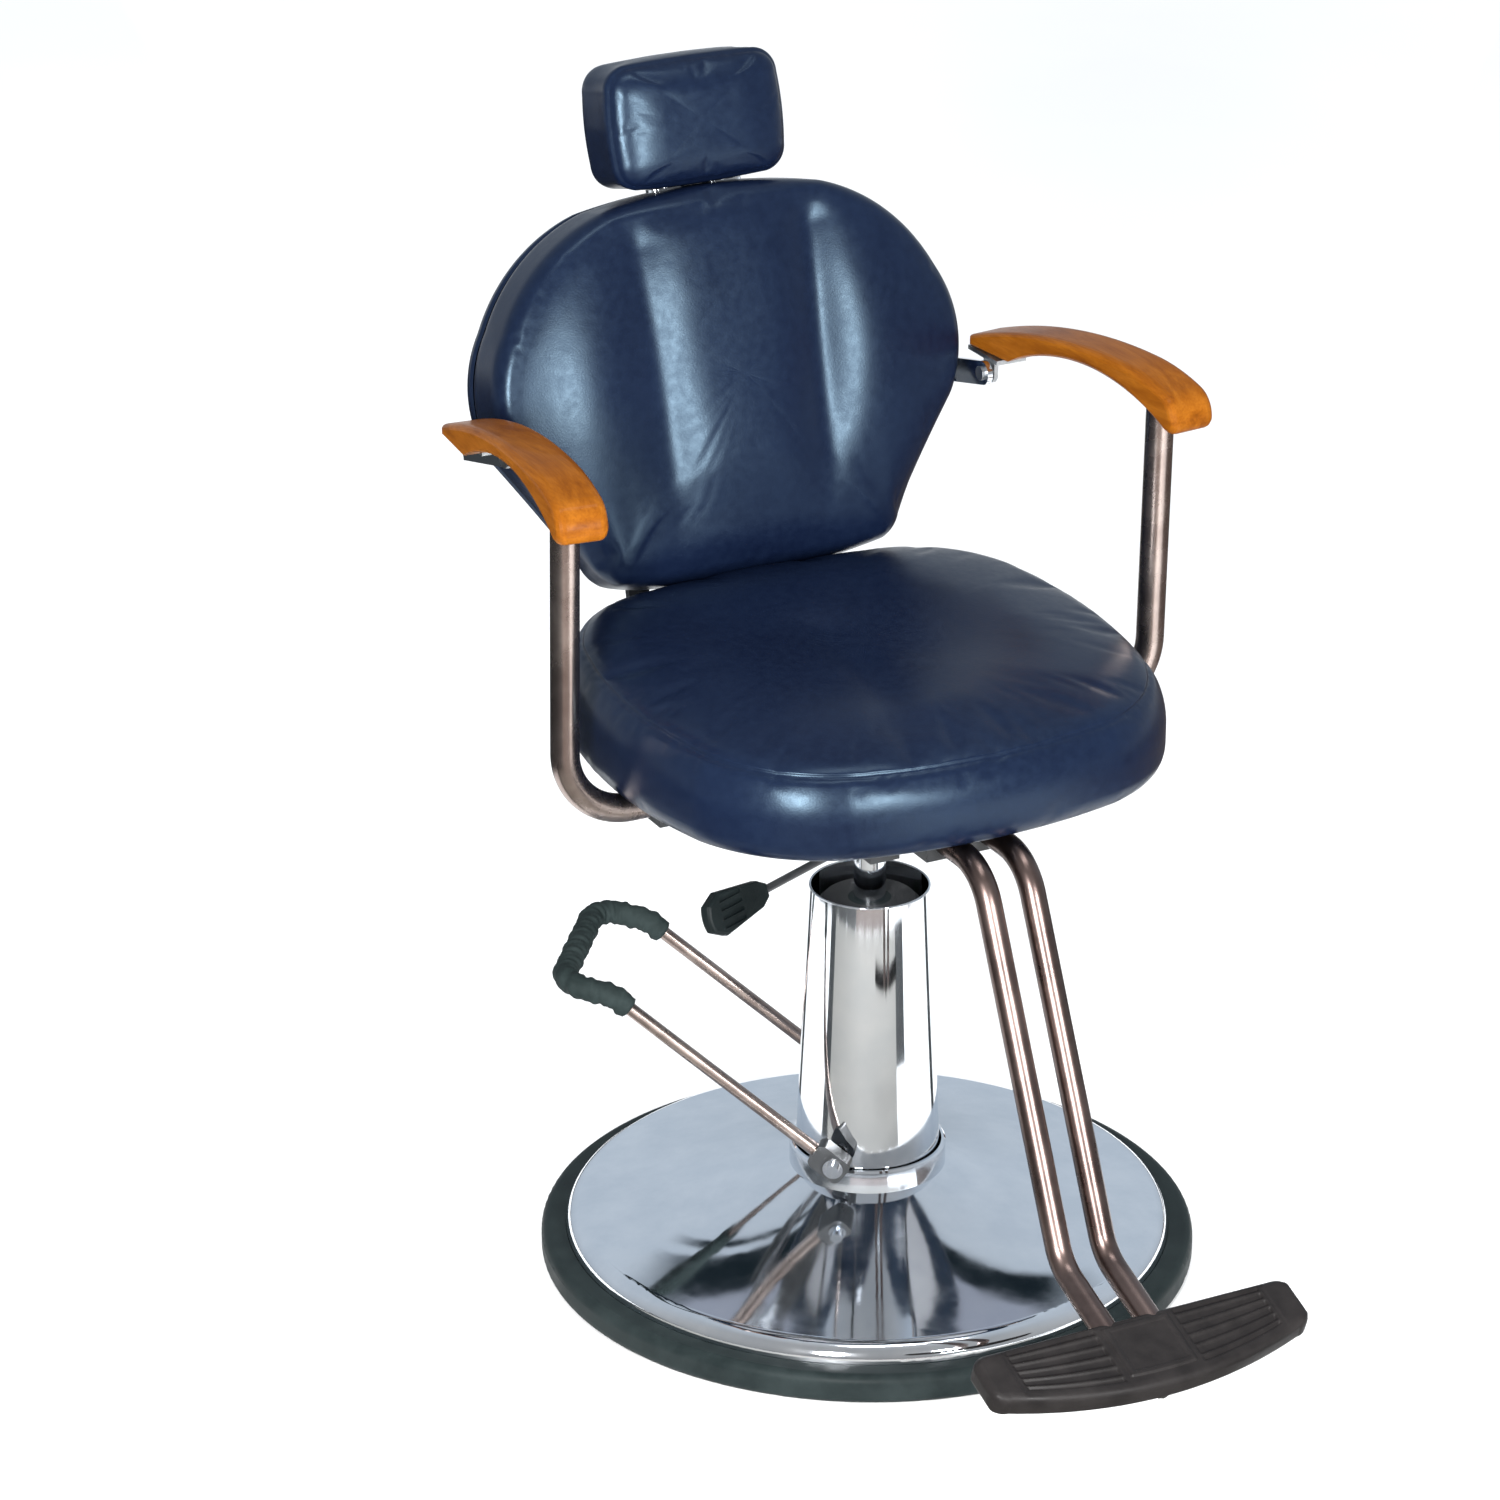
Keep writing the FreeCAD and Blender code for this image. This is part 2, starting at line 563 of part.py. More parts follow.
def box(label, size_x, size_y, size_z, x=0, y=0, z=0, axis=V(1, 0, 0), turn=0):
    piece = doc.addObject("Part::Box", label)
    piece.Label = label
    for name, size in (("Length", size_x), ("Width", size_y), ("Height", size_z)):
        setattr(piece, name, float(size))
        piece.setExpression(name, as_size(size).text)
    return place(piece, x, y, z, axis, turn)


def joined_pieces(kind, label, pieces):
    """A boolean of pieces: MultiFuse or MultiCommon."""
    result = doc.addObject("Part::" + kind, label)
    result.Label = label
    result.Shapes = pieces
    return result


def fuse(label, pieces):
    return joined_pieces("MultiFuse", label, pieces)


def cut(label, base, tools):
    tool = tools[0] if len(tools) == 1 else fuse(label + "_tools", tools)
    result = doc.addObject("Part::Cut", label)
    result.Label = label
    result.Base = base
    result.Tool = tool
    return result


def solid_feature(label, shape, placement=None):
    """A piece whose shape is set directly."""
    piece = doc.addObject("Part::Feature", label)
    piece.Label = label
    piece.Shape = shape
    if placement:
        piece.Placement = placement
    return piece


def bent_wire(points, radii):
    """Straight runs joined by tangent arcs, one radius for each inner point."""
    edges = []
    start = points[0]
    for index, radius in enumerate(radii, start=1):
        corner = points[index]
        back = (points[index - 1] - corner).normalize()
        ahead = (points[index + 1] - corner).normalize()
        half = back.getAngle(ahead) / 2
        reach = radius / math.tan(half)
        middle = (back + ahead).normalize()
        first = corner + back * reach
        last = corner + ahead * reach
        via = corner + middle * (radius / math.sin(half) - radius)
        edges.append(Part.LineSegment(start, first).toShape())
        edges.append(Part.Arc(first, via, last).toShape())
        start = last
    edges.append(Part.LineSegment(start, points[-1]).toShape())
    return Part.Wire(edges)


def swept(points, radii, radius):
    """A solid rod of one radius along straight runs and tangent arcs."""
    path = bent_wire(points, radii)
    heading = points[1] - points[0]
    ring = Part.Wire([Part.makeCircle(radius, points[0], heading)])
    return path.makePipeShell([ring], True, False)


def rounded(piece, radius, wanted):
    """Round the edges of a body's tip that the test picks."""
    doc.recompute()
    tip = piece.Tip
    names = ["Edge%d" % (i + 1) for i, edge in enumerate(tip.Shape.Edges) if wanted(edge)]
    fillet = piece.newObject("PartDesign::Fillet", piece.Name + "_round")
    fillet.Base = (tip, names)
    fillet.Radius = float(radius)
    fillet.setExpression("Radius", radius.text)
    piece.Tip = fillet
    return piece


nodes = []


def node(name, piece):
    """Name a finished piece: its label is its file's name."""
    piece.Label = name
    nodes.append(name)
    finished[name] = piece
    return piece


finished = {}


# Round base

ring_inner = S.base_radius - S.ring_width
plate_top = S.plate_thickness
cover_outer = ring_inner + S.ring_round / 2
ring_step = plate_top + S.cover_sheet


def base_ring():
    soft = S.ring_round * round_share
    return lathe("base_ring", [
        (ring_inner, 0), (S.base_radius - S.ring_round, 0),
        (S.base_radius - soft, soft, "via"),
        (S.base_radius, S.ring_round), (S.base_radius, S.ring_height - S.ring_round),
        (S.base_radius - soft, S.ring_height - soft, "via"),
        (S.base_radius - S.ring_round, S.ring_height),
        (cover_outer + S.seat_gap, S.ring_height),
        (cover_outer + S.seat_gap, ring_step), (ring_inner, ring_step)])


def base_plate():
    edge = ring_inner - S.seat_gap
    return lathe("base_plate", [(0, 0), (edge, 0), (edge, plate_top), (0, plate_top)])


lip_top = S.ring_height + S.lip_height
cover_inner_edge = cover_outer - S.lip_width
cover_top = lip_top + S.cover_rise


def base_cover():
    """The dished chrome cover: a rolled lip and a flared side up to the collar."""
    sheet_wall = S.cover_sheet
    bulge = S.lip_width * round_share
    middle = (cover_inner_edge + S.collar_radius) / 2
    hollow = lip_top + S.cover_rise / 2 - S.cover_flare
    return lathe("base_cover", [
        (cover_outer - sheet_wall, ring_step), (cover_outer, ring_step),
        (cover_outer, lip_top - S.lip_width),
        (cover_outer - bulge, lip_top - bulge, "via"),
        (cover_inner_edge, lip_top), (middle, hollow, "via"),
        (S.collar_radius, cover_top),
        (S.cover_hole_radius, cover_top),
        (S.cover_hole_radius, cover_top - sheet_wall),
        (S.collar_radius, cover_top - sheet_wall), (middle, hollow - sheet_wall, "via"),
        (cover_inner_edge, lip_top - sheet_wall),
        (cover_outer - bulge - sheet_wall * (1 - round_share),
         lip_top - bulge - sheet_wall * (1 - round_share), "via"),
        (cover_outer - sheet_wall, lip_top - S.lip_width)])


collar_top = cover_top + S.collar_height
column_inner_foot = S.column_foot_radius - S.column_sheet


def column_collar():
    lip = S.column_sheet
    return lathe("column_collar", [
        (S.column_foot_radius + S.seat_gap, cover_top), (S.collar_radius, cover_top),
        (S.collar_radius, collar_top - lip), (S.collar_radius - lip, collar_top),
        (S.column_foot_radius + S.seat_gap, collar_top)])


column_base = cover_top
column_top = column_base + S.column_height


def column_cover():
    """The tapered sleeve with its open rolled rim, notched for the cross shaft."""
    rim = S.column_sheet
    shell = lathe("column_shell", [
        (column_inner_foot, column_base), (S.column_foot_radius, column_base),
        (S.column_foot_radius - rim, collar_top),
        (S.column_top_radius, column_top - rim),
        (S.column_top_radius - rim / 2, column_top, "via"),
        (S.column_top_radius - rim, column_top - rim),
        (column_inner_foot - rim, collar_top)])
    hole = cross_cylinder("column_shaft_hole", S.shaft_radius + S.pocket_clearance,
                          -shaft_half, shaft_half * 2)
    return cut("column_cover", shell, [hole])


# Pump inside the column

block_base = plate_top
flange_top = block_base + S.flange_height
block_top = flange_top + S.block_height
cylinder_top = block_top + S.cylinder_length
heading_x = cosine(S.lever_heading)
heading_y = sine(S.lever_heading)
shaft_half = S.lever_arm_gap + S.clamp_depth / 2
shaft_x = S.shaft_offset * heading_x
shaft_y = S.shaft_offset * heading_y


def cross_cylinder(label, radius, start, length):
    """A cylinder along the cross shaft, from a distance measured from its middle."""
    piece = doc.addObject("Part::Cylinder", label)
    piece.Radius = float(radius)
    piece.Height = float(length)
    piece.setExpression("Radius", radius.text)
    piece.setExpression("Height", length.text)
    return place(piece, shaft_x - start * heading_y, shaft_y + start * heading_x,
                 S.shaft_height, V(-float(heading_x), -float(heading_y), 0), quarter_turn)


def along_lever(label, size_along, size_across, size_z, along, across, z):
    """A box in line with the lever, from a corner given along and across it."""
    piece = box(label, size_along, size_across, size_z)
    x = along * heading_x - across * heading_y
    y = along * heading_y + across * heading_x
    return place(piece, x, y, z, V(0, 0, 1), S.lever_heading)


nose_along = S.shaft_offset + S.nose_reach
half_swing = S.lever_swing / 2
nose_rest = S.shaft_height + S.nose_reach * sine(half_swing)
cap_top = nose_rest - S.nose_radius - S.seat_gap
cap_base = cap_top - S.plunger_cap_height
plunger_travel = S.nose_reach * sine(half_swing) * 2
nose_x = nose_along * heading_x
nose_y = nose_along * heading_y


def pump_block():
    casting = lathe("pump_casting", [
        (0, block_base), (S.flange_radius, block_base), (S.flange_radius, flange_top),
        (S.block_radius, flange_top), (S.block_radius, block_top), (0, block_top)])
    bore = cross_cylinder("shaft_bore", S.shaft_radius + S.bush_wall,
                          -shaft_half, shaft_half * 2)
    shaft_room = S.shaft_radius + S.pocket_clearance
    window_floor = S.shaft_height - S.nose_reach
    window_top = nose_rest + S.nose_radius + S.pocket_clearance
    window = along_lever("nose_window", S.block_radius * 2, S.nose_width + S.pocket_clearance * 2,
                         window_top - window_floor, S.shaft_offset - shaft_room,
                         -S.nose_width / 2 - S.pocket_clearance, window_floor)
    guide_floor = cap_top - S.plunger_length - plunger_travel - S.pocket_clearance
    guide = cylinder("plunger_guide", S.plunger_radius + S.slip, cap_top - guide_floor,
                     nose_x, nose_y, guide_floor)
    spring_floor = cap_base - S.spring_length
    spring_room = cylinder("spring_room", S.plunger_cap_radius + S.pocket_clearance,
                           window_top - spring_floor, nose_x, nose_y, spring_floor)
    holes = []
    for turn in range(4):
        angle = Size(45.0 + 90.0 * turn, "%g" % (45 + 90 * turn))
        holes.append(cylinder("flange_hole_%d" % turn, S.bolt_radius + S.slip,
                              S.flange_height + S.seat_gap, S.bolt_circle * cosine(angle),
                              S.bolt_circle * sine(angle), block_base))
    return cut("pump_block", casting, [bore, window, guide, spring_room] + holes)


def pump_bolts():
    bolts = []
    for turn in range(4):
        angle = Size(45.0 + 90.0 * turn, "%g" % (45 + 90 * turn))
        x = S.bolt_circle * cosine(angle)
        y = S.bolt_circle * sine(angle)
        shank = cylinder("pump_shank_%d" % turn, S.bolt_radius, S.flange_height, x, y, block_base)
        head = doc.addObject("Part::Prism", "pump_head_%d" % turn)
        head.Polygon = 6
        head.setExpression("Circumradius", S.bolt_head_radius.text)
        head.setExpression("Height", S.bolt_head_height.text)
        place(head, x, y, flange_top)
        bolts.append(fuse("pump_bolt_%d" % turn, [shank, head]))
    return group("pump_bolts", bolts)


def group(label, pieces):
    """Separate solids that share one node."""
    result = doc.addObject("Part::Compound", label)
    result.Label = label
    result.Links = pieces
    return result


def tube_ring(label, inner, outer, base, top):
    return lathe(label, [(inner, base), (outer, base), (outer, top), (inner, top)])


def shaft_bushes():
    bushes = []
    for side, start in (("front", -S.block_radius + S.seat_gap),
                        ("rear", S.block_radius - S.seat_gap - S.bush_length)):
        outer = cross_cylinder("bush_outer_" + side, S.shaft_radius + S.bush_wall,
                               start, S.bush_length)
        inner = cross_cylinder("bush_inner_" + side, S.shaft_radius + S.slip,
                               start, S.bush_length)
        bushes.append(cut("bush_" + side, outer, [inner]))
    return group("shaft_bushes", bushes)


def ram_gland():
    return lathe("ram_gland", [
        (S.ram_radius + S.slip, cylinder_top), (S.gland_radius, cylinder_top),
        (S.gland_radius, cylinder_top + S.gland_height - S.wiper_height),
        (S.gland_radius - S.wiper_height, cylinder_top + S.gland_height),
        (S.ram_radius + S.wiper_width, cylinder_top + S.gland_height),
        (S.ram_radius + S.wiper_width, cylinder_top + S.gland_height - S.wiper_height),
        (S.ram_radius + S.slip, cylinder_top + S.gland_height - S.wiper_height)])


piston_base = block_top + S.piston_lift
piston_top = piston_base + S.piston_height
ram_base = piston_top - S.ram_seat_depth


def piston_head():
    groove_base = piston_base + S.piston_seal_height
    groove_top = groove_base + S.piston_seal_height
    outer = S.cylinder_bore - S.slip
    groove = outer - S.piston_seal_width
    return lathe("piston_head", [
        (0, piston_base), (outer, piston_base), (outer, groove_base), (groove, groove_base),
        (groove, groove_top), (outer, groove_top), (outer, piston_top),
        (S.ram_radius + S.slip, piston_top), (S.ram_radius + S.slip, ram_base), (0, ram_base)])


def piston_seal():
    base = piston_base + S.piston_seal_height
    outer = S.cylinder_bore - S.slip
    return tube_ring("piston_seal", outer - S.piston_seal_width, outer,
                     base, base + S.piston_seal_height)


def pump_plunger():
    stem = cylinder("plunger_stem", S.plunger_radius, S.plunger_length,
                    nose_x, nose_y, cap_top - S.plunger_length)
    cap = cylinder("plunger_cap", S.plunger_cap_radius, S.plunger_cap_height,
                   nose_x, nose_y, cap_base)
    return fuse("pump_plunger", [stem, cap])


def plunger_spring():
    outer = cylinder("spring_outer", S.plunger_cap_radius - S.seat_gap, S.spring_length,
                     nose_x, nose_y, cap_base - S.spring_length)
    inner = cylinder("spring_inner", S.plunger_cap_radius - S.spring_wall, S.spring_length,
                     nose_x, nose_y, cap_base - S.spring_length)
    return cut("plunger_spring", outer, [inner])


# Pump lever

def lever_point(along, across, height):
    """A point given along the lever from its shaft, across it and above the shaft."""
    reach = float(S.shaft_offset) + along
    x = reach * float(heading_x) - across * float(heading_y)
    y = reach * float(heading_y) + across * float(heading_x)
    return V(x, y, float(S.shaft_height) + height)


def lever_shaft():
    shaft = cross_cylinder("shaft_rod", S.shaft_radius, -shaft_half, shaft_half * 2)
    nose = doc.addObject("Part::Cylinder", "nose")
    nose.setExpression("Radius", S.nose_radius.text)
    nose.setExpression("Height", S.nose_width.text)
    reach = S.shaft_offset + S.nose_reach * cosine(half_swing)
    start = -S.nose_width / 2
    place(nose, reach * heading_x - start * heading_y, reach * heading_y + start * heading_x,
          nose_rest, V(-float(heading_x), -float(heading_y), 0), quarter_turn)
    half = float(S.nose_width) / 2
    web = float(S.nose_radius) / 2
    lean = math.radians(float(half_swing))
    along = float(S.nose_reach) * math.cos(lean)
    climb = float(S.nose_reach) * math.sin(lean)
    side = V(math.sin(lean) * web, 0, math.cos(lean) * web)
    corners = [(-side.x, side.z), (along - side.x, climb + side.z),
               (along + side.x, climb - side.z), (side.x, -side.z)]
    outline = [lever_point(x, -half, z) for x, z in corners]
    face = Part.Face(Part.makePolygon(outline + [outline[0]]))
    reach_across = lever_point(0, half, 0) - lever_point(0, -half, 0)
    web_piece = solid_feature("nose_web", face.extrude(reach_across))
    return fuse("lever_shaft", [shaft, nose, web_piece])


def lever_path():
    """The rod's points: up one arm, along the tip, across and back."""
    gap = float(S.lever_arm_gap)
    arm = (float(S.lever_reach), float(S.lever_climb))
    tip = (arm[0] + float(S.lever_tip_reach), arm[1] + float(S.lever_tip_climb))
    front = [lever_point(0, -gap, 0), lever_point(arm[0], -gap, arm[1]),
             lever_point(tip[0], -gap, tip[1])]
    rear = [lever_point(tip[0], gap, tip[1]), lever_point(arm[0], gap, arm[1]),
            lever_point(0, gap, 0)]
    return front + rear


def pump_lever():
    points = lever_path()
    bend = float(S.lever_bend_radius)
    corner = float(S.lever_corner_radius)
    clear = float(S.shaft_radius + S.slip)
    for end, inward in ((0, 1), (-1, -2)):
        heading = (points[inward] - points[end]).normalize()
        points[end] = points[end] + heading * clear
    return solid_feature("pump_lever", swept(points, [bend, corner, corner, bend],
                                             float(S.lever_rod_radius)))


def lever_grip():
    """The soft grip round the tip, from the arms' last stretch on one side to the other."""
    points = lever_path()
    bend = float(S.lever_bend_radius)
    corner = float(S.lever_corner_radius)
    for end, inward in ((0, 1), (-1, -2)):
        heading = (points[end] - points[inward]).normalize()
        points[end] = points[inward] + heading * bend / 2
    outer = solid_feature("grip_outer", swept(points, [bend, corner, corner, bend],
                                              float(S.grip_radius)))
    inner = solid_feature("grip_inner", swept(points, [bend, corner, corner, bend],
                                              float(S.lever_rod_radius + S.slip)))
    return cut("lever_grip", outer, [inner])


def arm_direction():
    slope = math.atan2(float(S.lever_climb), float(S.lever_reach))
    return FreeCAD.Rotation(V(0, 0, 1), float(S.lever_heading)).multiply(
        FreeCAD.Rotation(V(0, 1, 0), -math.degrees(slope)))


def lever_clamps():
    """A dark block on each end of the shaft that grips the end of the rod."""
    clamps = []
    for side, sign in (("front", -1), ("rear", 1)):
        length = float(S.clamp_length)
        width = float(S.clamp_width)
        depth = float(S.clamp_depth)
        block = Part.makeBox(length, depth, width, V(-width / 2, -depth / 2, -width / 2))
        edges = [edge for edge in block.Edges if abs(edge.Vertexes[0].Y - edge.Vertexes[-1].Y) > depth / 2]
        block = block.makeFillet(width / 4, edges)
        shaft_hole = Part.makeCylinder(float(S.shaft_radius), depth * 2, V(0, -depth, 0), V(0, 1, 0))
        rod_hole = Part.makeCylinder(float(S.lever_rod_radius + S.slip), length, V(0, 0, 0), V(1, 0, 0))
        block = block.cut(shaft_hole.fuse(rod_hole))
        spot = lever_point(0, sign * float(S.lever_arm_gap), 0)
        clamps.append(solid_feature("clamp_" + side, block, FreeCAD.Placement(spot, arm_direction())))
    return group("lever_clamps", clamps)


def lever_bolts():
    bolts = []
    for side, sign in (("front", -1), ("rear", 1)):
        base = sign * float(shaft_half)
        reach = V(0, 0, 0) + (lever_point(0, 1, 0) - lever_point(0, 0, 0)) * sign
        spot = lever_point(0, base, 0)
        washer = Part.makeCylinder(float(S.clamp_washer_radius), float(S.clamp_washer_height), spot, reach)
        head_spot = spot + reach * float(S.clamp_washer_height)
        radius = float(S.clamp_bolt_radius) * 1.6
        head = Part.makeCylinder(radius, float(S.clamp_head_height), head_spot, reach)
        bolts.append(solid_feature("clamp_bolt_" + side, washer.fuse(head).removeSplitter()))
    return group("lever_bolts", bolts)


# Seat

def pillow(half_width, half_height, inset, middle, shares):
    """The outline of a soft rounded rectangle: eight arcs."""
    a = half_width - inset
    b = half_height - inset
    (side_x, side_y), (corner_x, corner_y), (top_x, top_y) = shares
    steps = [(a * side_x, b * -side_y), (a, 0, "via"), (a * side_x, b * side_y),
             (a * corner_x, b * corner_y, "via"), (a * top_x, b * top_y), (0, b, "via"),
             (a * -top_x, b * top_y), (a * -corner_x, b * corner_y, "via"),
             (a * -side_x, b * side_y), (a * -1, 0, "via"), (a * -side_x, b * -side_y),
             (a * -corner_x, b * -corner_y, "via"), (a * -top_x, b * -top_y),
             (0, b * -1, "via"), (a * top_x, b * -top_y), (a * corner_x, b * -corner_y, "via")]
    return [(step[0], step[1] + middle) + tuple(step[2:]) for step in steps]


board_top = S.seat_underside + S.board_thickness
seam_height = board_top + S.seat_band


def seat_board():
    outline = pillow(S.seat_half_width, S.seat_half_depth, S.board_inset, S.seat_middle,
                     seat_shares)
    return slab("seat_board", "XY_Plane", outline, S.board_thickness, S.seat_underside)


def seat_cushion():
    """A boxed cushion: a drawn-in side band, a seam and a gentle crown."""
    sections = []
    for height_share, inset_share in seat_side_shares:
        inset = S.seat_draw * inset_share
        sections.append((board_top + S.seat_band * height_share, S.seat_rise_angle * height_share, inset))
    for rise_share, inset_share in crown_shares:
        sections.append((seam_height + S.seat_crown * rise_share, S.seat_rise_angle,
                         S.seat_half_width * inset_share))
    outlines = []
    for offset, tilt, inset in sections:
        outlines.append((offset, tilt, pillow(S.seat_half_width, S.seat_half_depth, inset,
                                              S.seat_middle, seat_shares)))
    return loft("seat_cushion", "XY_Plane", outlines)


# Height along the side band, and inset in units of the draw-in
seat_side_shares = [(0.0, 4.6), (0.03, 2.6), (0.09, 1.0), (0.20, 0.0), (0.36, 0.6), (0.55, 1.0),
                    (0.78, 0.7), (0.95, 0.1), (1.0, 0.0)]
# Rise of the crown, and inset as a share of the half width
crown_shares = [(0.20, 0.012), (0.40, 0.045), (0.62, 0.11), (0.80, 0.21), (0.92, 0.34),
                (0.98, 0.48), (1.0, 0.62)]


def seat_hub():
    """The plate under the seat with its socket on the ram."""
    plate = box("hub_plate", S.hub_plate_half_width * 2, S.hub_plate_half_depth * 2,
                S.hub_plate_thickness, -S.hub_plate_half_width, -S.hub_plate_half_depth,
                S.seat_underside - S.hub_plate_thickness)
    socket = cylinder("hub_socket", S.hub_radius, S.hub_length, 0, 0,
                      S.seat_underside - S.hub_plate_thickness - S.hub_length)
    bore = cylinder("hub_bore", S.ram_radius + S.slip, S.hub_length, 0, 0,
                    S.seat_underside - S.hub_plate_thickness - S.hub_length)
    holes = [cylinder("hub_hole_%d" % i, S.hub_bolt_radius + S.slip,
                      S.hub_plate_thickness * 2, x, y,
                      S.seat_underside - S.hub_plate_thickness * 2)
             for i, (x, y) in enumerate(hub_bolt_places())]
    return cut("seat_hub", fuse("hub_body", [plate, socket]), [bore] + holes)


def hub_bolt_places():
    x = S.hub_plate_half_width - S.hub_bolt_inset
    y = S.hub_plate_half_depth - S.hub_bolt_inset
    return [(x, y), (-x, y), (-x, -y), (x, -y)]


def seat_bolts():
    bolts = []
    for i, (x, y) in enumerate(hub_bolt_places()):
        base = S.seat_underside - S.hub_plate_thickness
        shank = cylinder("hub_shank_%d" % i, S.hub_bolt_radius, S.hub_plate_thickness, x, y, base)
        head = doc.addObject("Part::Prism", "hub_head_%d" % i)
        head.Polygon = 6
        head.setExpression("Circumradius", (S.hub_bolt_radius * 2).text)
        head.setExpression("Height", S.hub_bolt_radius.text)
        place(head, x, y, base - S.hub_bolt_radius)
        bolts.append(fuse("hub_bolt_%d" % i, [shank, head]))
    return group("seat_bolts", bolts)


ram_top = ram_base + S.ram_length


def lift_ram():
    return cylinder("lift_ram", S.ram_radius, S.ram_length, 0, 0, ram_base)


# Posts and their bearings

def post_bearing(side, sign):
    length = S.bearing_outer - S.bearing_inner
    start = S.bearing_inner if sign > 0 else -S.bearing_outer
    drop = S.post_radius + S.bearing_wall
    base = S.post_pivot_height - drop
    block = box("bearing_block_" + side, length, S.bearing_half_depth * 2,
                S.seat_underside - base, start, S.post_pivot_depth - S.bearing_half_depth, base)
    bore = cylinder("bearing_bore_" + side, S.post_radius + S.slip, length,
                    start, S.post_pivot_depth, S.post_pivot_height, V(0, 1, 0), quarter_turn)
    return cut("post_bearing_" + side, block, [bore])


def post_lean():
    return math.degrees(math.atan2(float(S.post_top_shift), float(S.post_rise)))


def arm_post(side, sign):
    """An L of tube: a level leg in its bearing, a wide bend and a leg up to the armrest."""
    body = new_body("arm_post_" + side)
    bend = S.post_bend
    outer = sign * S.post_offset
    spine = sketch_on(body, "XZ_Plane")
    draw(spine, [
        (outer, S.post_rise), (outer, bend),
        (outer - sign * bend * round_share, bend * round_share, "via"),
        (outer - sign * bend, 0), (sign * S.post_inner_end, 0)], closed=False)
    doc.recompute()
    section = body.newObject("Sketcher::SketchObject", "post_section_" + side)
    section.AttachmentSupport = [(spine, "Edge1"), (spine, "Vertex1")]
    section.MapMode = "NormalToEdge"
    circle_in(section, 0, 0, S.post_radius)
    circle_in(section, 0, 0, S.post_radius - S.post_wall)
    doc.recompute()
    pipe = body.newObject("PartDesign::AdditivePipe", "post_pipe_" + side)
    pipe.Profile = section
    pipe.Spine = (spine, ["Edge1", "Edge2", "Edge3"])
    body.Tip = pipe
    lean = Size(post_lean(), "atan(Sizes.post_top_shift / Sizes.post_rise) / 1deg")
    return place(body, 0, S.post_pivot_depth, S.post_pivot_height, V(1, 0, 0), lean)


arm_pivot_depth = S.post_pivot_depth - S.post_top_shift
arm_pivot_height = S.post_pivot_height + S.post_rise
rear_pivot_depth = S.hinge_depth - S.post_top_shift
rear_pivot_height = S.hinge_height + S.post_rise

# Across the armrest as a share of its half width, and inset in units of its rounding
arm_section_shares = [(-1.0, 1.0), (-0.97, 0.62), (-0.89, 0.28), (-0.78, 0.07), (-0.65, 0.0),
                      (0.65, 0.0), (0.78, 0.07), (0.89, 0.28), (0.97, 0.62), (1.0, 1.0)]


def arm_outline(inset):
    """The armrest's side view from the post's pivot: an arch with a heavy drooping front."""
    front = inset - S.arm_front
    rear = rear_pivot_depth - arm_pivot_depth + S.arm_rear - inset
    reach = rear - front
    peak = S.arm_peak - inset
    low = inset - S.arm_front_bottom
    thin = inset * 0.45
    rear_low = thin - S.arm_rear_bottom
    return [
        (rear, rear_low), (rear, -S.arm_rear_top - thin),
        (front + reach * 0.568, peak * 0.685, "via"), (front + reach * 0.265, peak * 0.92),
        (front + reach * 0.162, peak * 0.826, "via"), (front + reach * 0.061, peak * 0.552),
        (front + reach * 0.017, peak * 0.189, "via"), (front, low * 0.54),
        (front + reach * 0.009, low * 0.865, "via"), (front + reach * 0.030, low),
        (front + reach * 0.430, S.arm_peak * 0.21 + inset, "via"),
        (rear - S.arm_flat, rear_low)]


def armrest(side, sign):
    """An arched wooden armrest, thin at the rear and heavy at its drooping front."""
    half = S.arm_width / 2
    sections = [(half * across, 0, arm_outline(S.arm_round * inset_share))
                for across, inset_share in arm_section_shares]
    body = loft("arm_blank_" + side, "YZ_Plane", sections)
    place(body, sign * S.post_offset, arm_pivot_depth, arm_pivot_height,
          V(0, 0, 1), sign * S.arm_splay)
    slot = float(S.post_radius + S.arm_pocket_clearance)
    deep = float(S.arm_front_bottom + S.post_radius)
    swing = math.radians(float(S.recline_travel) + post_lean())
    lean = math.radians(post_lean())
    profile = [V(0, slot * math.cos(lean), 0),
               V(0, slot * math.cos(lean) + deep * math.sin(lean), -deep),
               V(0, -slot / math.cos(swing) - deep * math.tan(swing), -deep),
               V(0, -slot * math.cos(swing), slot * math.sin(swing))]
    wedge = Part.Face(Part.makePolygon(profile + [profile[0]])).extrude(V(slot * 2, 0, 0))
    wedge.translate(V(-slot, 0, 0))
    crown = Part.makeCylinder(slot, slot * 2, V(-slot, 0, 0), V(1, 0, 0))
    spot = V(float(sign * S.post_offset), float(arm_pivot_depth), float(arm_pivot_height))
    pocket = solid_feature("arm_pocket_" + side, wedge.fuse(crown), FreeCAD.Placement(spot, FreeCAD.Rotation()))
    return cut("armrest_" + side, body, [pocket])


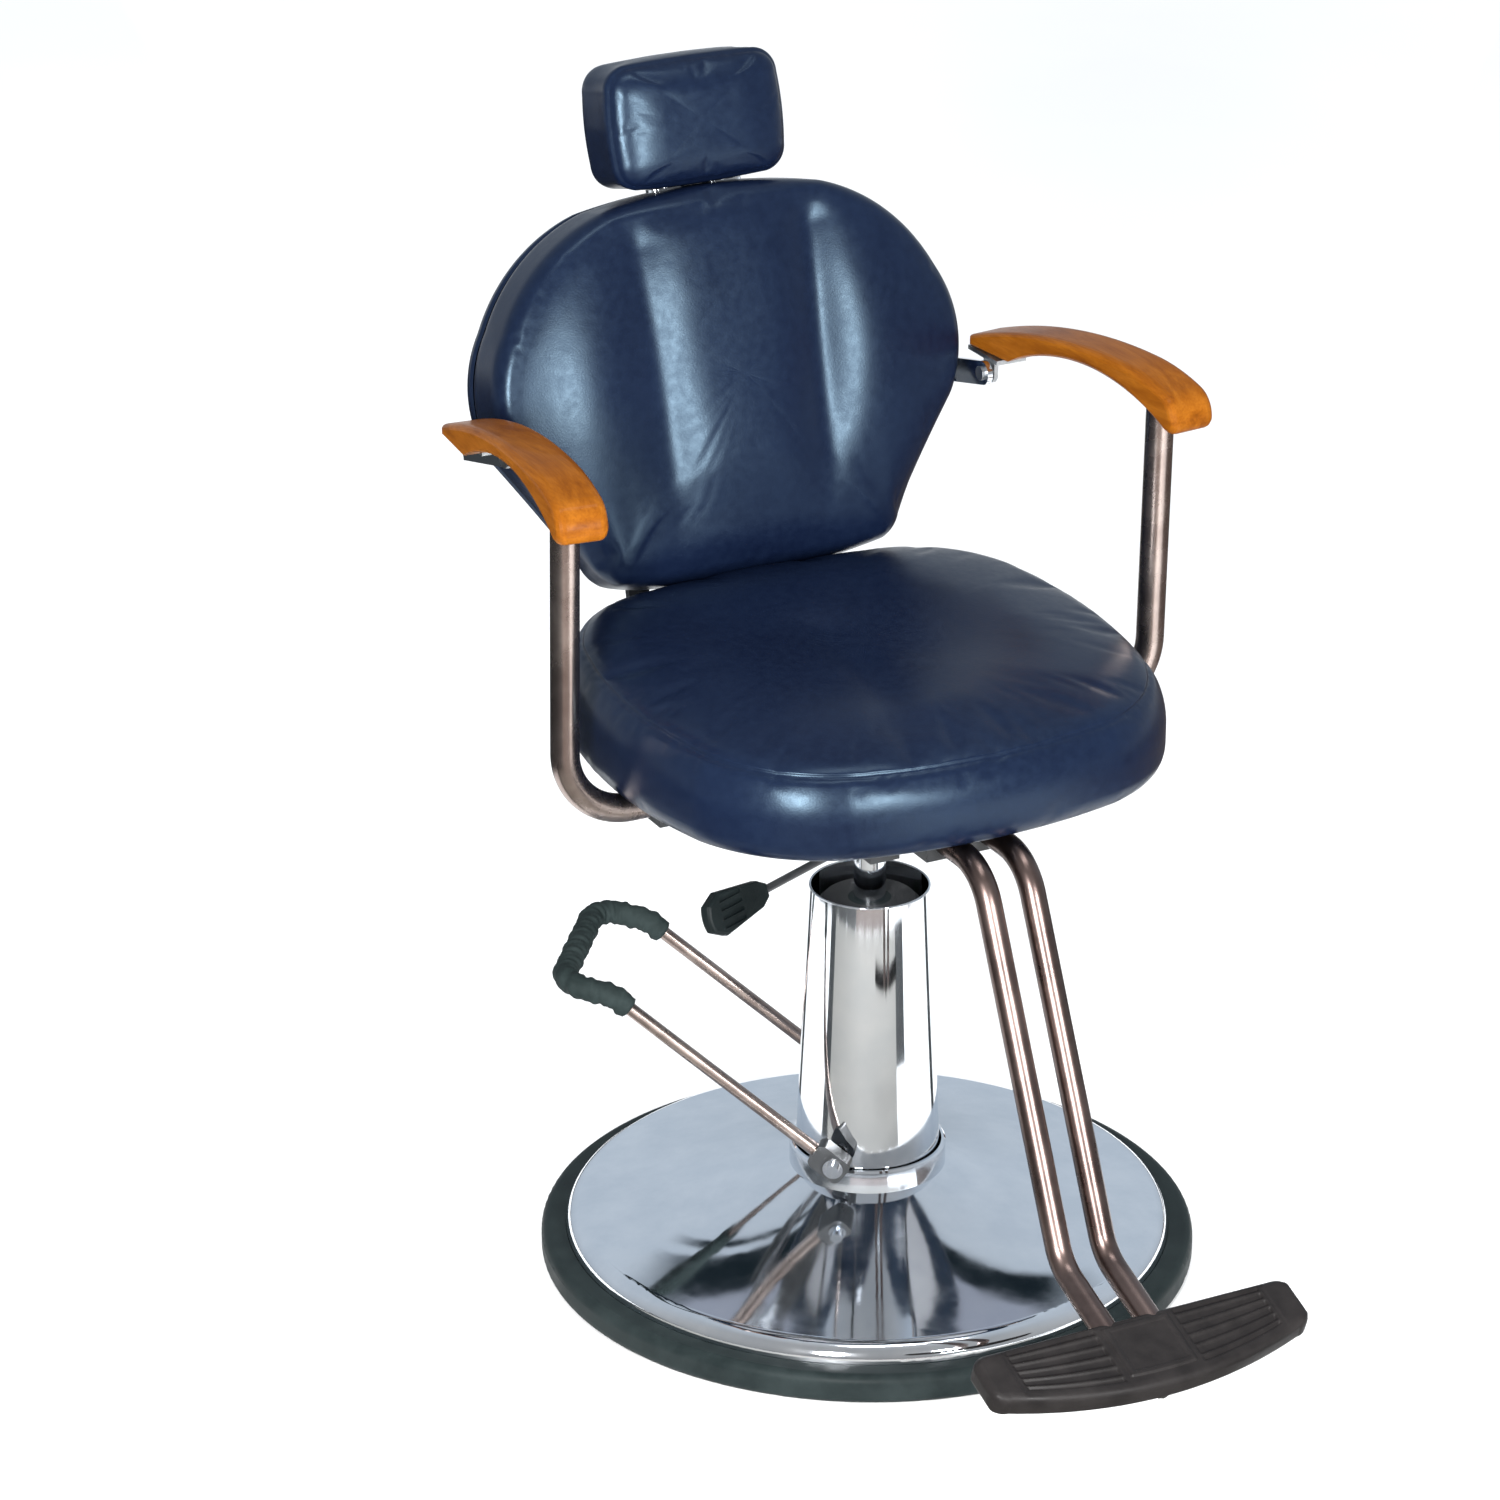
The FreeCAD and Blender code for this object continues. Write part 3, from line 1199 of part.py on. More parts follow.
def arm_rear_bracket(side, sign):
    """A flat plate under the armrest's rear with an ear and the rear pivot's pin."""
    plate_top = arm_pivot_height - S.arm_rear_bottom
    plate_base = plate_top - S.arm_ear_thickness
    rear = rear_pivot_depth + S.arm_rear - S.arm_ear_thickness
    inner = S.arm_ear_offset
    start = inner if sign > 0 else -inner - S.arm_ear_width
    plate = box("ear_plate_" + side, S.arm_ear_width, S.arm_ear_length, S.arm_ear_thickness,
                start, rear - S.arm_ear_length, plate_base)
    ear_start = inner if sign > 0 else -inner - S.arm_ear_thickness
    ear = box("ear_side_" + side, S.arm_ear_thickness, S.arm_ear_radius * 2,
              plate_base - rear_pivot_height, ear_start,
              rear_pivot_depth - S.arm_ear_radius, rear_pivot_height)
    eye = cylinder("ear_eye_" + side, S.arm_ear_radius, S.arm_ear_thickness, ear_start,
                   rear_pivot_depth, rear_pivot_height, V(0, 1, 0), quarter_turn)
    head_start = S.arm_bar_offset - S.arm_pin_head
    reach = inner - head_start + S.arm_ear_thickness
    pin_start = head_start if sign > 0 else -head_start - reach
    pin = cylinder("ear_pin_" + side, S.arm_pin_radius, reach, pin_start,
                   rear_pivot_depth, rear_pivot_height, V(0, 1, 0), quarter_turn)
    head = cylinder("ear_head_" + side, S.arm_pin_radius * 1.6, S.arm_pin_head - S.slip,
                    head_start if sign > 0 else -head_start - S.arm_pin_head + S.slip,
                    rear_pivot_depth, rear_pivot_height, V(0, 1, 0), quarter_turn)
    return fuse("arm_rear_bracket_" + side, [plate, ear, eye, pin, head])


# Back

def in_back(piece):
    """Stand a piece of the back on the line where it meets the seat, leaning with the back."""
    return place(piece, 0, S.back_foot_depth, S.back_foot_height, V(1, 0, 0), -S.back_lean)


def back_outline(inset):
    """The apple shaped outline of the back, from its lower right corner round to the left."""
    half = (S.back_height - S.back_gap) / 2
    middle = S.back_gap + half
    a = S.back_half_width - inset
    b = half - inset
    right = []
    left = []
    for x_share, z_share, kind in back_shares:
        right.append((a * x_share, middle + b * z_share) + kind)
        left.append((a * -x_share, middle + b * z_share) + kind)
    return right + [(0, middle + b, "via")] + left[::-1]


# Across and along the back, as shares of its half sizes
back_shares = [
    (0.571, -1.0, ()), (0.616, -0.970, ("via",)), (0.656, -0.893, ()),
    (0.795, -0.606, ("via",)), (0.9375, -0.325, ()), (1.0, 0.033, ("via",)),
    (0.924, 0.391, ()), (0.750, 0.719, ("via",)), (0.469, 0.940, ())]
# Depth from the seam to the rear as a share, and inset in units of the draw-in
back_side_shares = [(1.0, 2.5), (0.96, 1.2), (0.88, 0.3), (0.75, 0.0), (0.6, 0.6), (0.45, 1.0),
                    (0.25, 0.7), (0.06, 0.1), (0.0, 0.0)]


# Depth from the rear face as a share, and inset in units of the draw-in
rear_pad_shares = [(0.0, 8.0), (0.12, 5.0), (0.40, 3.2), (1.0, 3.0)]


def back_cushion():
    sections = []
    for depth_share, inset_share in back_side_shares:
        sections.append((S.back_cushion * -depth_share, 0, back_outline(S.back_draw * inset_share)))
    for rise_share, inset_share in crown_shares:
        inset = S.back_half_width * inset_share
        sections.append((S.back_crown * rise_share, 0, back_outline(inset)))
    skin = loft("back_skin", "XZ_Plane", sections)
    tools = []
    for sign in (-1, 1):
        tools.append(cylinder("back_channel", S.channel_radius, S.back_height * 2,
                              sign * S.channel_offset,
                              S.channel_depth - S.channel_radius - S.back_crown, -S.back_height))
        x = sign * S.head_rod_offset
        tools.append(cylinder("sleeve_room", S.sleeve_radius + S.seat_gap,
                              S.sleeve_length + S.back_height, x, S.head_rod_depth,
                              S.back_height - S.sleeve_sink - S.sleeve_length))
        tools.append(cylinder("rod_room", S.head_rod_radius + S.seat_gap,
                              S.head_rod_below, x, S.head_rod_depth,
                              S.back_height - S.head_rod_below - S.seat_gap))
        tools.append(oval("collar_room", S.sleeve_collar_half + S.seat_gap,
                          S.sleeve_collar_radius + S.seat_gap, S.back_height, x))
    return in_back(cut("back_cushion", skin, tools))


def oval(label, half, radius, height, x):
    """A standing oval at a rod's place, from the sleeve collar's underside up."""
    base = S.back_height - S.sleeve_sink
    straight = half - radius
    middle = box(label + "_middle", straight * 2, radius * 2, height,
                 x - straight, S.head_rod_depth - radius, base)
    ends = [cylinder(label + "_end", radius, height, x + straight * side, S.head_rod_depth, base)
            for side in (-1, 1)]
    return fuse(label, [middle] + ends)


def headrest_sleeve(side, sign):
    x = sign * S.head_rod_offset
    collar = oval("sleeve_collar", S.sleeve_collar_half, S.sleeve_collar_radius,
                  S.sleeve_collar_height, x)
    base = S.back_height - S.sleeve_sink - S.sleeve_length
    tube = cylinder("sleeve_tube", S.sleeve_radius, S.sleeve_length, x, S.head_rod_depth, base)
    bore = cylinder("sleeve_bore", S.head_rod_radius + S.slip,
                    S.sleeve_length + S.sleeve_collar_height, x, S.head_rod_depth, base)
    return in_back(cut("headrest_sleeve_" + side, fuse("sleeve_body", [collar, tube]), [bore]))


def back_sheet(label, inset, start, thickness):
    """A flat piece with the back's outline, from a depth behind the back's seam."""
    return slab(label, "XZ_Plane", back_outline(inset), thickness, -start - thickness)


board_start = S.back_cushion + S.seat_gap
pad_start = board_start + S.back_board
pad_end = pad_start + S.rear_pad
bar_start = pad_end + S.seat_gap


def bolt_places():
    return [(side * S.bar_middle, height) for side in (-1, 1)
            for height in (S.bar_bolt_low, S.bar_bolt_high)]


def bolt_holes():
    return [cylinder("bar_bolt_hole", S.bar_bolt_radius + S.slip, bar_start + S.bar_thickness,
                     x, 0, z, V(1, 0, 0), -quarter_turn) for x, z in bolt_places()]


def back_board():
    sheet_body = back_sheet("board_sheet", S.back_board_inset, board_start, S.back_board)
    return in_back(cut("back_board", sheet_body, bolt_holes()))


def back_rear_panel():
    sections = [(-pad_end + S.rear_pad * depth_share, 0, back_outline(S.back_draw * inset_share))
                for depth_share, inset_share in rear_pad_shares]
    pad = loft("rear_panel_pad", "XZ_Plane", sections)
    rooms = []
    for sign in (-1, 1):
        start = S.arm_bar_inner - S.seat_gap
        rooms.append(box("bar_room", S.back_half_width, S.arm_bar_thickness + S.seat_gap * 2,
                         S.arm_bar_height + S.seat_gap * 2,
                         start if sign > 0 else -start - S.back_half_width,
                         pad_start - S.seat_gap, bar_height - S.arm_bar_height / 2 - S.seat_gap))
    return in_back(cut("back_rear_panel", pad, bolt_holes() + rooms))


def back_frame_point(depth, height):
    """A point of the chair given in the back's own depth and height."""
    forward = depth - S.back_foot_depth
    up = height - S.back_foot_height
    return (forward * cosine(S.back_lean) - up * sine(S.back_lean),
            forward * sine(S.back_lean) + up * cosine(S.back_lean))


hinge_in_back = back_frame_point(S.hinge_depth, S.hinge_height)
arm_pin_in_back = back_frame_point(rear_pivot_depth, rear_pivot_height)
bar_height = arm_pin_in_back[1]


def back_bar(side, sign):
    """A bent flat bar from the back's cross shaft up behind the rear panel."""
    depth, height = hinge_in_back
    half = S.bar_eye_radius / 2
    end = bar_start + S.bar_thickness
    leg = slab("bar_leg_" + side, "YZ_Plane", [
        (depth - half, height), (bar_start, -S.bar_knee), (bar_start, S.bar_climb),
        (end, S.bar_climb), (end, -S.bar_knee - half), (depth + half, height)],
        S.bar_width, sign * S.bar_middle - S.bar_width / 2)
    start = sign * S.bar_middle - S.bar_width / 2
    eye = cylinder("bar_eye_" + side, S.bar_eye_radius, S.bar_width, start, depth, height,
                   V(0, 1, 0), quarter_turn)
    bore = cylinder("bar_bore_" + side, S.hinge_shaft_radius + S.slip, S.bar_width, start,
                    depth, height, V(0, 1, 0), quarter_turn)
    return in_back(cut("back_bar_" + side, fuse("bar_body_" + side, [leg, eye]),
                       [bore] + bolt_holes()))


def back_bar_bolts():
    bolts = []
    for x, z in bolt_places():
        end = bar_start + S.bar_thickness
        shank = cylinder("bar_shank", S.bar_bolt_radius, end - board_start, x, board_start, z,
                         V(1, 0, 0), -quarter_turn)
        head = cylinder("bar_head", S.bar_bolt_head, S.bar_bolt_height, x, end, z,
                        V(1, 0, 0), -quarter_turn)
        bolts.append(in_back(fuse("bar_bolt", [shank, head])))
    return group("back_bar_bolts", bolts)


def arm_bar(side, sign):
    """A strap from behind the back's board round its flank to the armrest's rear pivot."""
    pin_depth, pin_height = arm_pin_in_back
    base = pin_height - S.arm_bar_height / 2
    outer = S.arm_bar_offset + S.arm_bar_thickness
    length = outer - S.arm_bar_inner
    inner_start = S.arm_bar_inner if sign > 0 else -outer
    cross = box("strap_cross_" + side, length, S.arm_bar_thickness, S.arm_bar_height,
                inner_start, pad_start, base)
    side_start = S.arm_bar_offset if sign > 0 else -outer
    flank = box("strap_flank_" + side, S.arm_bar_thickness,
                pad_start + S.arm_bar_thickness - pin_depth, S.arm_bar_height,
                side_start, pin_depth, base)
    eye = cylinder("strap_eye_" + side, S.arm_bar_height / 2, S.arm_bar_thickness, side_start,
                   pin_depth, pin_height, V(0, 1, 0), quarter_turn)
    bore = cylinder("strap_bore_" + side, S.arm_pin_radius + S.slip, S.arm_bar_thickness,
                    side_start, pin_depth, pin_height, V(0, 1, 0), quarter_turn)
    return in_back(cut("arm_bar_" + side, fuse("strap_" + side, [cross, flank, eye]), [bore]))


def along_x(label, radius, start, length, depth, height):
    """A cylinder across the chair."""
    return cylinder(label, radius, length, start, depth, height, V(0, 1, 0), quarter_turn)


def back_hinge(side, sign):
    """Two ears under the seat board's rear, one on each side of a back bar."""
    near = S.bar_width / 2 + S.ear_gap
    ears = []
    for place_sign in (-1, 1):
        start = sign * S.bar_middle + place_sign * near
        if place_sign < 0:
            start = start - S.ear_thickness
        profile = [(S.bracket_front, S.seat_underside), (S.bracket_front, S.seat_underside - S.ear_radius),
                   (S.hinge_depth - S.ear_radius / 2, S.hinge_height - S.ear_radius * 0.8),
                   (S.hinge_depth + S.ear_radius * 0.8, S.hinge_height + S.ear_radius / 2),
                   (S.bracket_rear, S.seat_underside)]
        ears.append(slab("hinge_ear_" + side, "YZ_Plane", profile, S.ear_thickness, start))
        ears.append(along_x("hinge_eye_" + side, S.ear_radius, start, S.ear_thickness,
                            S.hinge_depth, S.hinge_height))
    width = near * 2 + S.ear_thickness * 2
    flange = box("hinge_flange_" + side, width, S.bracket_rear - S.bracket_front,
                 S.bracket_flange, sign * S.bar_middle - width / 2, S.bracket_front,
                 S.seat_underside - S.bracket_flange)
    bore = along_x("hinge_bore_" + side, S.hinge_shaft_radius + S.slip,
                   sign * S.bar_middle - width, width * 2, S.hinge_depth, S.hinge_height)
    return cut("back_hinge_" + side, fuse("hinge_body_" + side, ears + [flange]), [bore])


def back_shaft():
    return along_x("back_shaft", S.hinge_shaft_radius, -S.hinge_shaft_half,
                   S.hinge_shaft_half * 2, S.hinge_depth, S.hinge_height)


# Lock of the back

half_recline = S.recline_travel / 2
lock_pin_depth = S.hinge_depth + S.crank_length * sine(half_recline)
lock_pin_height = S.hinge_height - S.crank_length * cosine(half_recline)
lock_height = (lock_pin_height + S.hinge_height - S.crank_length) / 2
eye_start = -S.lock_offset - S.eye_thickness / 2
crank_start = eye_start - S.ear_gap - S.crank_thickness


def lock_crank():
    """A short crank on the back's shaft with the pin that drives the lock rod."""
    arm = box("crank_arm", S.crank_thickness, S.crank_pin_radius * 4, S.crank_length,
              crank_start, -S.crank_pin_radius * 2, -S.crank_length)
    hub = along_x("crank_hub", S.ear_radius, crank_start, S.crank_thickness, 0, 0)
    tip = along_x("crank_tip", S.crank_pin_radius * 2, crank_start, S.crank_thickness,
                  0, -S.crank_length)
    pin = along_x("crank_pin", S.crank_pin_radius, crank_start,
                  S.crank_thickness + S.eye_thickness + S.ear_gap * 2, 0, -S.crank_length)
    bore = along_x("crank_bore", S.hinge_shaft_radius + S.slip, crank_start,
                   S.crank_thickness, 0, 0)
    crank = cut("lock_crank", fuse("crank_body", [arm, hub, tip, pin]), [bore])
    return place(crank, 0, S.hinge_depth, S.hinge_height, V(1, 0, 0), half_recline)


def lock_rod():
    eye = along_x("rod_eye", S.eye_radius, eye_start, S.eye_thickness, lock_pin_depth, lock_height)
    start = S.lock_housing_rear - S.lock_rod_engaged
    rod = cylinder("rod_stem", S.lock_rod_radius, lock_pin_depth - S.eye_radius / 2 - start,
                   -S.lock_offset, start, lock_height, V(1, 0, 0), -quarter_turn)
    piston = cylinder("rod_piston", S.lock_bore_radius - S.slip, S.lock_piston_length,
                      -S.lock_offset, start, lock_height, V(1, 0, 0), -quarter_turn)
    half_width = S.crank_pin_radius + S.eye_slot_clearance
    half_reach = S.eye_slot_reach
    slot = [box("rod_slot", S.eye_thickness * 2, half_width * 2, half_reach * 2,
                eye_start - S.eye_thickness / 2, lock_pin_depth - half_width,
                lock_height - half_reach)]
    for end in (-1, 1):
        slot.append(along_x("rod_slot_end", half_width, eye_start - S.eye_thickness / 2,
                            S.eye_thickness * 2, lock_pin_depth, lock_height + end * half_reach))
    return cut("lock_rod", fuse("rod_body", [eye, rod, piston]), slot)


def along_y(label, radius, start, length, x, height):
    """A cylinder from front to rear."""
    return cylinder(label, radius, length, x, start, height, V(1, 0, 0), -quarter_turn)


def lock_housing():
    """The lock's cylinder, hung under the seat's plate by two hangers."""
    front = S.lock_housing_front
    length = S.lock_housing_rear - front
    shell = along_y("housing_shell", S.lock_housing_radius, front, length,
                    -S.lock_offset, lock_height)
    bore = along_y("housing_bore", S.lock_bore_radius, front + S.lock_end_wall,
                   length - S.lock_end_wall * 2, -S.lock_offset, lock_height)
    guide = along_y("housing_guide", S.lock_rod_radius + S.slip, S.lock_housing_rear - S.lock_end_wall * 2,
                    S.lock_end_wall * 2, -S.lock_offset, lock_height)
    base = lock_height + S.lock_bore_radius + S.ear_gap
    hangers = [box("housing_hanger", S.lock_hanger_thickness, S.lock_hanger_width,
                   S.seat_underside - S.hub_plate_thickness - base,
                   -S.lock_offset - S.lock_hanger_thickness / 2, depth, base)
               for depth in (S.lock_hanger_front, S.lock_hanger_rear)]
    return cut("lock_housing", fuse("housing_body", [shell] + hangers), [bore, guide])


# Release lever

release_x = -(S.lock_offset + S.valve_half_width + S.release_hub_radius)


def release_frame(piece):
    """Turn a piece built along +X into the release lever's heading at its pivot."""
    turn = Size(180.0, "180") + S.release_heading
    return place(piece, release_x, -S.release_depth, S.release_height, V(0, 0, 1), turn)


def along_local_y(label, radius, start, length, x):
    return cylinder(label, radius, length, x, start, 0, V(1, 0, 0), -quarter_turn)


def release_head():
    """The lock's valve head under the seat's plate, its pipe, and the release lever's cheeks."""
    top = S.seat_underside - S.hub_plate_thickness
    base = S.release_height - S.release_hub_radius - S.ear_gap
    rear = S.lock_housing_front - S.valve_gap
    head = box("valve_block", S.valve_half_width * 2, S.valve_length, top - base,
               -S.lock_offset - S.valve_half_width, rear - S.valve_length, base)
    level = along_y("valve_pipe_level", S.valve_pipe_radius, rear - S.valve_pipe_inset,
                    S.valve_gap + S.valve_pipe_inset * 2 + S.valve_pipe_radius,
                    -S.lock_offset, S.release_height)
    landing = lock_height + S.lock_housing_radius + S.seat_gap
    drop = cylinder("valve_pipe_drop", S.valve_pipe_radius, S.release_height - landing,
                    -S.lock_offset, S.lock_housing_front + S.valve_pipe_inset, landing)
    half = S.release_hub_width / 2 + S.seat_gap
    outer = half + S.release_cheek
    reach = S.release_hub_radius + S.valve_half_width
    fork = box("fork_body", reach + S.release_hub_radius, outer * 2, S.release_hub_radius * 2,
               -reach, -outer, -S.release_hub_radius)
    room = box("fork_room", S.release_hub_radius * 4, half * 2, S.release_hub_radius * 4,
               -S.release_hub_radius - S.seat_gap, -half, -S.release_hub_radius * 2)
    pin = along_local_y("fork_pin", S.release_pin_radius, -outer, outer * 2, 0)
    local = release_frame(fuse("fork", [cut("fork_cheeks", fork, [room]), pin]))
    sweep = box("fork_clearance", S.release_hub_radius * 2 + S.seat_gap, half * 2,
                S.release_hub_radius * 4, -S.release_hub_radius - S.seat_gap, -half,
                -S.release_hub_radius * 2)
    trimmed = cut("valve_trimmed", head, [release_frame(group("fork_sweep", [sweep]))])
    return fuse("release_head", [trimmed, local, level, drop])


def release_rod():
    hub = along_local_y("release_hub", S.release_hub_radius, -S.release_hub_width / 2,
                        S.release_hub_width, 0)
    end = S.release_hub_radius + S.release_rod_length
    rod = cylinder("release_stem", S.release_rod_radius, end + S.release_rod_radius * 4, 0, 0, 0,
                   V(0, 1, 0), quarter_turn)
    bore = along_local_y("release_bore", S.release_pin_radius + S.slip, -S.release_hub_width,
                         S.release_hub_width * 2, 0)
    return release_frame(cut("release_rod", fuse("release_body", [hub, rod]), [bore]))


# Across the paddle's thickness as a share of half of it, and inset in units of its rounding
paddle_section_shares = [(-1.0, 1.0), (-0.85, 0.35), (-0.5, 0.0), (0.5, 0.0), (0.85, 0.35),
                         (1.0, 1.0)]


def paddle_outline(inset):
    """The fan shaped outline of the paddle, from its neck round its wide end."""
    length = S.paddle_length - inset
    tip = S.paddle_tip - inset
    neck = S.paddle_neck - inset
    return [(inset, -neck), (length * 0.14, -tip * 0.62), (length * 0.80, -tip),
            (length, -tip * 0.60), (length * 1.03, 0, "via"), (length, tip * 0.60),
            (length * 0.80, tip), (length * 0.14, tip * 0.62), (inset, neck)]


def release_paddle():
    """A fan shaped paddle with grooves along it, set on the end of the rod."""
    length = S.paddle_length
    sections = [(S.paddle_thickness / 2 * across, 0,
                 paddle_outline(S.paddle_thickness / 5 * inset_share))
                for across, inset_share in paddle_section_shares]
    body = loft("paddle_blank", "XY_Plane", sections)
    tools = []
    for share in (-0.62, -0.22, 0.18, 0.58):
        tools.append(box("paddle_slot", length * 0.36, S.paddle_groove_width, S.paddle_groove,
                         length * 0.46, S.paddle_tip * share - S.paddle_groove_width / 2,
                         S.paddle_thickness / 2 - S.paddle_groove))
    hole = cylinder("paddle_hole", S.release_rod_radius + S.slip, S.release_rod_radius * 4 + S.slip,
                    0, 0, 0, V(0, 1, 0), quarter_turn)
    local = cut("paddle_local", body, tools + [hole])
    place(local, S.release_hub_radius + S.release_rod_length, 0, 0, V(1, 0, 0), -S.paddle_tilt)
    return release_frame(group("release_paddle", [local]))


def is_flat_edge(edge):
    """Edges of a slab's upper and lower faces."""
    points = [vertex.Point for vertex in edge.Vertexes]
    return max(p.z for p in points) - min(p.z for p in points) < float(S.seat_gap)


# Headrest

head_base = S.back_height + S.head_gap
head_middle = head_base + S.head_half_height
# Depth from the seam to the rear as a share, and inset in units of the back's draw-in
head_side_shares = [(1.0, 2.6), (0.97, 1.2), (0.90, 0.3), (0.78, 0.0), (0.50, 0.8), (0.20, 0.5),
                    (0.05, 0.1), (0.0, 0.0)]
# Rise of the crown, and inset in units of the crown
head_crown_shares = [(0.30, 0.15), (0.55, 0.45), (0.78, 1.0), (0.93, 1.9), (1.0, 3.2)]


def headrest_cushion():
    sections = []
    for depth_share, inset_share in head_side_shares:
        outline = pillow(S.head_half_width, S.head_half_height, S.back_draw * inset_share,
                         head_middle, head_shares)
        sections.append((-S.head_front - S.head_thickness * depth_share, 0, outline))
    for rise_share, inset_share in head_crown_shares:
        outline = pillow(S.head_half_width, S.head_half_height, S.head_crown * inset_share,
                         head_middle, head_shares)
        sections.append((S.head_crown * rise_share - S.head_front, 0, outline))
    skin = loft("head_skin", "XZ_Plane", sections)
    holes = [cylinder("head_hole", S.head_rod_radius + S.seat_gap,
                      S.head_rod_inside + S.head_gap + S.seat_gap,
                      sign * S.head_rod_offset, S.head_rod_depth, S.back_height)
             for sign in (-1, 1)]
    return in_back(cut("headrest_cushion", skin, holes))


def headrest_rod(side, sign):
    base = S.back_height - S.head_rod_below
    rod = cylinder("head_rod_" + side, S.head_rod_radius,
                   S.head_rod_below + S.head_gap + S.head_rod_inside,
                   sign * S.head_rod_offset, S.head_rod_depth, base)
    return in_back(group("headrest_rod_" + side, [rod]))


# Footrest

def footrest_tube(side, sign):
    """A tube from under the seat, bent down and bent again into the treadle."""
    slope = math.radians(float(S.treadle_slope))
    x = float(sign * S.foot_tube_offset)
    knee = V(x, -float(S.foot_knee_front), float(S.foot_knee_height))
    ahead = V(0, -math.cos(slope), -math.sin(slope))
    reach = float(S.foot_end_length + S.treadle_socket)
    points = [V(x, -float(S.foot_tube_rear), float(S.foot_tube_height)),
              V(x, -float(S.foot_bend_front), float(S.foot_tube_height)), knee,
              knee + ahead * reach]
    radii = [float(S.foot_bend_radius), float(S.foot_knee_radius)]
    outer = swept(points, radii, float(S.foot_tube_radius))
    inner = swept(points, radii, float(S.foot_tube_radius - S.foot_tube_wall))
    return solid_feature("footrest_tube_" + side, outer.cut(inner))


def in_treadle(piece):
    """Place a piece at the middle of the treadle's rear face, sloping with it."""
    depth = -S.foot_knee_front - S.foot_end_length * cosine(S.treadle_slope)
    height = S.foot_knee_height - S.foot_end_length * sine(S.treadle_slope)
    return place(piece, 0, depth, height, V(1, 0, 0), S.treadle_slope)


def footrest_treadle():
    """A thick rounded treadle: a grooved field on each side of a raised middle panel."""
    half = S.treadle_half
    corner = S.treadle_round * 2
    end_depth = S.treadle_end_depth
    soft = corner * round_share
    body = slab("treadle_blank", "XY_Plane", [
        (half, -corner), (half - soft, -soft, "via"), (half - corner, 0), (corner - half, 0),
        (soft - half, -soft, "via"), (-half, -corner), (-half, corner - end_depth),
        (soft - half, soft - end_depth - soft * 0.2, "via"),
        (corner - half, -end_depth - soft * 0.6),
        (0, -S.treadle_middle_depth, "via"), (half - corner, -end_depth - soft * 0.6),
        (half - soft, soft - end_depth - soft * 0.2, "via"), (half, corner - end_depth)],
        S.treadle_thickness, -S.treadle_thickness / 2)
    rounded(body, S.treadle_round, is_flat_edge)
    top = S.treadle_thickness / 2
    panel = box("treadle_panel", S.treadle_panel_half * 2,
                S.treadle_middle_depth - S.treadle_round * 3,
                S.treadle_panel_rise + S.treadle_groove_depth, -S.treadle_panel_half,
                S.treadle_round * 1.5 - S.treadle_middle_depth, top - S.treadle_groove_depth)
    bumper = cylinder("treadle_bumper", S.treadle_bumper_radius,
                      S.treadle_bumper_height + S.treadle_thickness / 2, 0,
                      S.treadle_bumper_radius * 1.5 - S.treadle_middle_depth,
                      -S.treadle_thickness / 2 - S.treadle_bumper_height)
    tools = []
    for sign in (-1, 1):
        for step in range(4):
            start = S.treadle_panel_half + S.treadle_groove_pitch
            length = half - S.treadle_end_margin - start
            tools.append(box("treadle_groove", length, S.treadle_groove_width,
                             S.treadle_groove_depth + S.treadle_panel_rise,
                             start if sign > 0 else -start - length,
                             -S.treadle_round * 1.6 - S.treadle_groove_pitch * step
                             - S.treadle_groove_width, top - S.treadle_groove_depth))
        tools.append(cylinder("treadle_hole", S.foot_tube_radius + S.slip,
                              S.treadle_socket + S.slip, sign * S.foot_tube_offset, 0, 0,
                              V(1, 0, 0), quarter_turn))
    return in_treadle(cut("footrest_treadle", fuse("treadle_body", [body, panel, bumper]), tools))


def footrest_clamp():
    """The block that grips both footrest tubes under the seat board's front."""
    base = S.foot_tube_height - S.clamp_block_drop
    length = S.clamp_block_front - S.foot_tube_rear
    block = box("clamp_body", S.clamp_block_half * 2, length, S.seat_underside - base,
                -S.clamp_block_half, -S.clamp_block_front, base)
    bores = [along_y("clamp_bore", S.foot_tube_radius + S.slip, -S.clamp_block_front, length,
                     sign * S.foot_tube_offset, S.foot_tube_height) for sign in (-1, 1)]
    return cut("footrest_clamp", block, bores)


# All nodes

for build in (base_ring, base_plate, base_cover, column_collar, column_cover, pump_block,
              pump_bolts, shaft_bushes, ram_gland, piston_head, piston_seal, pump_plunger,
              plunger_spring, lever_shaft, pump_lever, lever_grip, lever_clamps, lever_bolts,
              lift_ram, seat_hub, seat_bolts, seat_board, seat_cushion, footrest_clamp,
              footrest_treadle, lock_housing, lock_rod, lock_crank,
              release_head, release_rod, release_paddle, back_shaft, back_bar_bolts,
              back_board, back_rear_panel, back_cushion, headrest_cushion):
    node(build.__name__, build())
node("lift_cylinder", tube_ring("lift_cylinder", S.cylinder_bore, S.cylinder_radius,
                                block_top, cylinder_top))
node("oil_tank", tube_ring("oil_tank", S.tank_radius - S.tank_wall, S.tank_radius,
                           block_top, cylinder_top))
wiper_top = cylinder_top + S.gland_height
node("gland_wiper", tube_ring("gland_wiper", S.ram_radius + S.slip,
                              S.ram_radius + S.wiper_width, wiper_top - S.wiper_height, wiper_top))
for build in (post_bearing, arm_post, armrest, arm_rear_bracket, back_hinge, back_bar, arm_bar,
              headrest_sleeve, headrest_rod, footrest_tube):
    for side, sign in (("left", -1), ("right", 1)):
        node(build.__name__ + "_" + side, build(side, sign))
doc.recompute()

